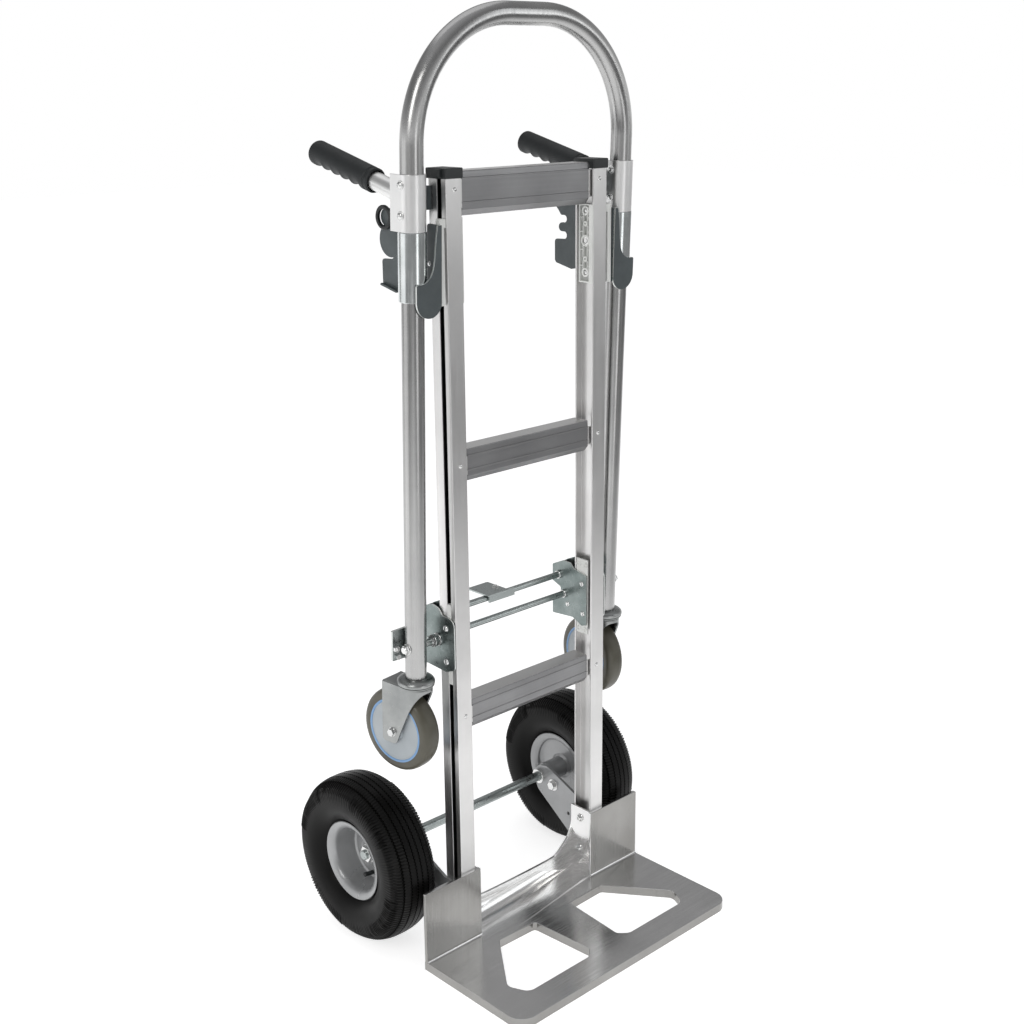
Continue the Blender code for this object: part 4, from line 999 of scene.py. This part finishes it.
def hook(side, sign):
    """A J-shaped plate in front of the tube, with a wall along the tube's inner side."""
    front, rear = -SLEEVE_R - 0.0003 - HOOK_WALL, 0.0045
    near = HOOK_X - HOOK_WALL / 2
    foot_out, foot_top = 0.2085, 0.5185
    kit = Kit(side + "_hook", "dark_steel", "handle_frame", HANDLE, others=["cut_edge"])
    wall = rounded([(front + 0.0005, HOOK_LOW + 0.012, 0.003), (rear, HOOK_LOW + 0.020, 0.004),
                    (rear, HOOK_HIGH, 0.004), (front + 0.0005, HOOK_HIGH, 0.001)])
    kit.plate(wall, "x", *span(sign, near, near + HOOK_WALL), bevel=0.0003, edge_slot=1)
    outline = [(near, HOOK_HIGH), (near, HOOK_LOW + 0.020)]
    outline += arc((near + 0.020, HOOK_LOW + 0.020), 0.020, 180, 270, 12)
    outline += arc((foot_out - 0.022, HOOK_LOW + 0.022), 0.022, 270, 360, 12)
    outline += rounded([(foot_out, foot_top - 0.010), (foot_out, foot_top, 0.0025),
                        (0.2010, foot_top - 0.0004), (0.1920, 0.5198, 0.012), (0.1840, 0.5262, 0.012),
                        (0.1795, 0.5360, 0.012), (0.1770, 0.5495, 0.03), (0.1748, 0.5745, 0.05),
                        (0.1720, HOOK_HIGH - 0.0003), (near + 0.001, HOOK_HIGH)])[1:-1]
    kit.plate([(sign * x, z) for x, z in outline], "y", front, front + HOOK_WALL, bevel=0.0003,
              edge_slot=1)
    kit.make(side + "_hook_plate")
    rivets = Kit(side + "_hook_rivets", "bright_steel", "handle_frame", HANDLE)
    rivets.dome((sign * (near + HOOK_WALL), -0.0005, 0.5407), (sign, 0, 0), 0.0034, 0.0016)
    rivets.make()


def pivot_block(side, sign):
    """The clamp plate behind the tube's foot, with its bolts."""
    front = TUBE_R + 0.0013
    outline = rounded([(sign * 0.175, -0.0215, 0.003), (sign * 0.2255, -0.0205, 0.002),
                       (sign * 0.2255, 0.0255, 0.002), (sign * 0.175, 0.0265, 0.003)])
    kit = Kit(side + "_pivot_clamp", "zinc_plate", "handle_frame", HANDLE, others=["cut_edge"])
    kit.plate(outline, "y", front, front + 0.0044, bevel=0.0006, edge_slot=1)
    kit.make(side + "_pivot_block")
    bolts = Kit(side + "_pivot_nuts", "bright_steel", "handle_frame", HANDLE)
    ahead, out = (0, -1, 0), (sign, 0, 0)
    bolts.hexagon((sign * 0.2200, front, -0.0015), ahead, 0.0052, 0.0046)
    bolts.dome((sign * 0.2200, front - 0.0046, -0.0015), ahead, 0.0028, 0.0016)
    bolts.hexagon((sign * 0.2165, front, -0.0150), ahead, 0.0045, 0.0036)
    bolts.washer((sign * (TUBE_X + TUBE_R - 0.0006), 0, 0), out, 0.0080, 0.0012)
    bolts.hexagon((sign * (TUBE_X + TUBE_R + 0.0004), 0, 0), out, 0.0070, 0.0050)
    bolts.make()


# ---------------------------------------------------------------- casters
def casters():
    for side, sign in SIDES.items():
        head = HANDLE @ Matrix.Translation((sign * TUBE_X, 0, 0))
        top = Kit(side + "_swivel_head", "fork_zinc", "handle_frame", head)
        cup = ((0.0, 0.0), (TUBE_R + 0.0016, 0.0), (0.0205, 0.0004), (0.0245, 0.0018),
               (0.0268, 0.0042), (0.0275, 0.0068), (0.0272, 0.0090), (0.0262, 0.0097),
               (0.0258, 0.0104), (0.0266, 0.0108))
        profile = [(radius, PLATE_TOP - depth) for radius, depth in cup]
        profile += [(0.0266, PLATE_LOW + 0.0002), (0.0260, PLATE_LOW), (0.0, PLATE_LOW)]
        top.revolve(profile, sides=72)
        top.make(side + "_caster_raceway")
        turn = head @ Matrix.Rotation(-sign * CASTER_TURN, 4, "Z")
        fork(side, turn)
        wheel(side, turn)


FORK_REAR, FORK_FRONT = 0.0475, -0.0262
FORK_EDGE = [(0.0475, -0.1475), (0.0466, -0.1508), (0.0440, -0.1530), (0.0400, -0.1535),
             (0.0270, -0.1535), (0.0220, -0.1523), (0.0190, -0.1493), (0.0165, -0.1430),
             (0.0130, -0.1340), (0.0085, -0.1235), (0.0030, -0.1110), (-0.0030, -0.0980),
             (-0.0090, -0.0865), (-0.0150, -0.0765), (-0.0200, -0.0695), (-0.0235, -0.0655),
             (-0.0262, -0.0640)]     # the legs' lower edge from the rear to the front, y and z


def fork_hem(y):
    """How low the fork's sheet reaches at a distance behind the swivel axis."""
    for (rear, low), (front, high) in zip(FORK_EDGE, FORK_EDGE[1:]):
        if front <= y <= rear:
            return low + (high - low) * (rear - y) / (rear - front)
    return FORK_EDGE[-1][1]


def fork(side, turn):
    """One sheet bent round the front of the swivel: two legs, joined by a short skirt."""
    trail, drop = CASTER_TRAIL, -CASTER_DROP
    half = CASTER_HALF + 0.0022 + FORK_WALL
    kit = Kit(side + "_fork", "fork_zinc", side + "_caster", turn)
    straight = [y for y, _ in FORK_EDGE[:-1] if y > 0.0004]
    plan = [((half, y), (1, 0)) for y in straight]
    for step in range(25):
        angle = pi * step / 24
        normal = Vector((cos(angle) / half, sin(angle) / -FORK_FRONT)).normalized()
        plan.append(((half * cos(angle), FORK_FRONT * sin(angle)), (normal.x, -normal.y)))
    plan += [((-half, y), (-1, 0)) for y in reversed(straight)]
    rows = []
    bend = 0.0030
    for (x, y), (u, v) in plan:
        low = fork_hem(y)
        shape = [(-FORK_WALL + 0.0004, low), (-0.0004, low), (0.0, low + 0.0004),
                 (0.0, FORK_TOP - bend)]
        shape += [(-bend * (1 - sin(a)), FORK_TOP - bend * (1 - cos(a)))
                  for a in (radians(60), radians(30))]
        shape += [(-bend, FORK_TOP), (-bend - 0.0015, FORK_TOP), (-bend - 0.0015, FORK_TOP - 0.0030),
                  (-FORK_WALL, FORK_TOP - 0.0042), (-FORK_WALL, low + 0.0004)]
        rows.append([Vector((x + u * inward, y + v * inward, z)) for inward, z in shape])
    kit.add(skin(rows, cap=True))
    inset = 0.0040
    crown = [(half - inset, FORK_REAR - 0.0003)]
    crown += [((half - inset) * cos(pi * step / 24), (FORK_FRONT + inset) * sin(pi * step / 24))
              for step in range(25)]
    crown += [(inset - half, FORK_REAR - 0.0003)]
    kit.plate(crown, "z", FORK_TOP - 0.0029, FORK_TOP - 0.00005, bevel=0.0002)
    kit.make(side + "_caster_fork", smooth=40)
    bolts = Kit(side + "_caster_bolts", "bright_steel", side + "_caster", turn)
    for way in (-1, 1):
        bolts.washer((way * half, trail, drop), (way, 0, 0), 0.0072, 0.0008)
        bolts.hexagon((way * (half + 0.0008), trail, drop), (way, 0, 0), 0.0060, 0.0040)
    bolts.rod((-half + 0.001, trail, drop), (half - 0.001, trail, drop), 0.0040, 0.0004, 24)
    bolts.make()


def wheel(side, turn):
    """A moulded tread, a blue ring and a pale hub, all the same on both faces."""
    centre = turn @ Matrix.Translation((0, CASTER_TRAIL, -CASTER_DROP))
    for name, material, nodes, half in (
        ("_caster_tyre", "caster_rubber", ["_caster_tread"],
         [(0.0488, 0.0158), (0.0530, 0.0160), (0.0570, 0.0154), (0.0600, 0.0138),
          (0.0620, 0.0112), (0.0631, 0.0078), (0.0635, 0.0040)]),
        ("_caster_ring", "caster_blue", [],
         [(0.0488, 0.0160), (0.0458, 0.0160), (0.0452, 0.0154)]),
        ("_caster_disc", "caster_hub", ["_caster_hub"],
         [(0.0451, 0.0153), (0.0435, 0.0150), (0.0420, 0.0142), (0.0200, 0.0138),
          (0.0140, 0.0140), (0.0125, 0.0172), (0.0050, 0.0172)]),
    ):
        kit = Kit(side + name, material, side + "_caster_wheel", centre)
        kit.revolve(half + flipped(half), axis=(1, 0, 0), sides=96)
        kit.make(*[side + node_name for node_name in nodes], smooth=40 if nodes else 35)


# ---------------------------------------------------------------- studio
AWAY, RIGHTWARDS = (0.690, 0.724), (0.724, -0.690)     # level directions from the photo's viewpoint
GREY_FROM, GREY_AT = 0.85, 2.4


def floor_material():
    """A plain pale floor. Reflections see it grow softly greyer to the truck's front and sides."""
    pale = {"Base Color": (0.80, 0.80, 0.80, 1.0), "Roughness": 0.8,
            "Emission Color": (1.0, 1.0, 1.0, 1.0), "Emission Strength": 0.72}
    made, tree, principled = shader("floor", (0.80, 0.80, 0.80), 0.8)
    place = node(tree, "TexCoord").outputs["Object"]
    split = node(tree, "SeparateXYZ", {"Vector": place}).outputs

    def distance(direction, share):
        """How far out a point is in a level direction, times a share."""
        first = node(tree, "Math", {0: split["X"], 1: direction[0] * share}, operation="MULTIPLY")
        return node(tree, "Math", {0: split["Y"], 1: direction[1] * share, 2: first.outputs[0]},
                    operation="MULTIPLY_ADD").outputs[0]

    aside = node(tree, "Math", {0: distance(RIGHTWARDS, 1.0), 1: distance(RIGHTWARDS, -0.5)},
                 operation="MAXIMUM").outputs[0]
    fade = node(tree, "Math", {0: distance(AWAY, 1.0), 1: -0.42, 2: aside},
                operation="MULTIPLY_ADD").outputs[0]
    glow = spread(tree, fade, pale["Emission Strength"], 0.0, GREY_FROM, GREY_AT)
    greyness = spread(tree, fade, 0.0, 1.0, GREY_FROM, GREY_AT)
    tone = mix(tree, greyness, (0.80, 0.80, 0.80), (0.42, 0.42, 0.42))
    tree.links.new(glow, principled.inputs["Emission Strength"])
    tree.links.new(tone, principled.inputs["Base Color"])
    principled.inputs["Emission Color"].default_value = pale["Emission Color"]
    plain = node(tree, "BsdfPrincipled", pale)
    swap_for_camera(tree, principled, plain, tree.nodes["Material Output"])
    return made


def swap_for_camera(tree, lit, seen, output):
    """Shows one shader to the eye, and the other to light and reflections."""
    to_eye = node(tree, "LightPath").outputs["Is Camera Ray"]
    choice = node(tree, "MixShader", {0: to_eye, 1: lit.outputs[0], 2: seen.outputs[0]})
    tree.links.new(choice.outputs[0], output.inputs["Surface"])


def floor():
    reach = 14.0
    mesh = bpy.data.meshes.new("floor")
    mesh.from_pydata([(-reach, -reach, 0), (reach, -reach, 0), (reach, reach, 0),
                      (-reach, reach, 0)], [], [(0, 1, 2, 3)])
    mesh.materials.append(floor_material())
    made = bpy.data.objects.new("floor", mesh)
    made.location.z = -0.0006
    bpy.context.scene.collection.objects.link(made)


def backdrop():
    """An even white backdrop. Reflections see it graded by height, as in a studio."""
    world = bpy.data.worlds.new("studio")
    world.use_nodes = True
    bpy.context.scene.world = world
    tree = world.node_tree
    background = tree.nodes["Background"]
    place = node(tree, "TexCoord").outputs["Generated"]
    height = node(tree, "SeparateXYZ", {"Vector": place}).outputs["Z"]
    ramp = node(tree, "ValToRGB", {"Fac": height})
    first, last = ramp.color_ramp.elements
    first.position, first.color = 0.075, (1.0, 1.0, 1.0, 1.0)
    last.position, last.color = 1.0, (0.55, 0.55, 0.56, 1.0)
    for position, level in ((0.15, 0.50), (0.32, 0.42), (0.50, 0.24), (0.75, 0.34)):
        ramp.color_ramp.elements.new(position).color = (level, level, level * 1.01, 1.0)
    tree.links.new(ramp.outputs["Color"], background.inputs["Color"])
    background.inputs["Strength"].default_value = 1.0
    white = node(tree, "Background", {"Color": (1.0, 1.0, 1.0, 1.0)})
    swap_for_camera(tree, background, white, tree.nodes["World Output"])


def lights():
    for name, place, size, power, tint in (
        ("key", (-2.8, -1.0, 2.6), (1.2, 2.0), 26.0, (1.0, 0.99, 0.97)),
        ("fill", (2.4, -2.6, 2.0), (0.8, 2.4), 8.0, (0.97, 0.99, 1.0)),
        ("top", (0.6, 1.2, 3.6), (2.4, 2.4), 10.0, (1.0, 1.0, 1.0)),
        ("left", (-1.75, 1.0, 0.60), (1.6, 1.2), 4.5, (1.0, 1.0, 1.0)),
        ("front", (-0.15, -2.2, 0.60), (0.6, 1.2), 3.0, (1.0, 1.0, 1.0)),
    ):
        lamp = bpy.data.lights.new(name, "AREA")
        lamp.shape = "RECTANGLE"
        lamp.size, lamp.size_y = size
        lamp.energy = power
        lamp.color = tint
        holder = bpy.data.objects.new(name, lamp)
        holder.location = place
        aim = Vector((0, 0, 0.6)) - holder.location
        holder.rotation_euler = aim.to_track_quat("-Z", "Y").to_euler()
        bpy.context.scene.collection.objects.link(holder)


def camera():
    """The photograph's viewpoint."""
    scene = bpy.context.scene
    lens = bpy.data.cameras.new("camera")
    lens.lens, lens.sensor_width = 51.04, 36.0
    lens.shift_x, lens.shift_y = -0.0136, -0.0062
    lens.clip_end = 60.0
    made = bpy.data.objects.new("camera", lens)
    yaw, pitch, roll = radians(43.60), radians(16.61), radians(-0.485)
    forward = Vector((sin(yaw) * cos(pitch), cos(yaw) * cos(pitch), -sin(pitch)))
    level = Vector((cos(yaw), -sin(yaw), 0))
    upright = level.cross(forward)
    right = cos(roll) * level + sin(roll) * upright
    up = -sin(roll) * level + cos(roll) * upright
    turn = Matrix((right, up, -forward)).transposed().to_4x4()
    made.matrix_world = Matrix.Translation((-1.40746, -1.46377, 1.27804)) @ turn
    scene.collection.objects.link(made)
    scene.camera = made
    scene.view_settings.view_transform = "Standard"


rails()
crossbars()
nose_plate()
axle_and_brackets()
upper_station()
main_wheels()
carriage()
release()
handle()
casters()
floor()
backdrop()
lights()
camera()
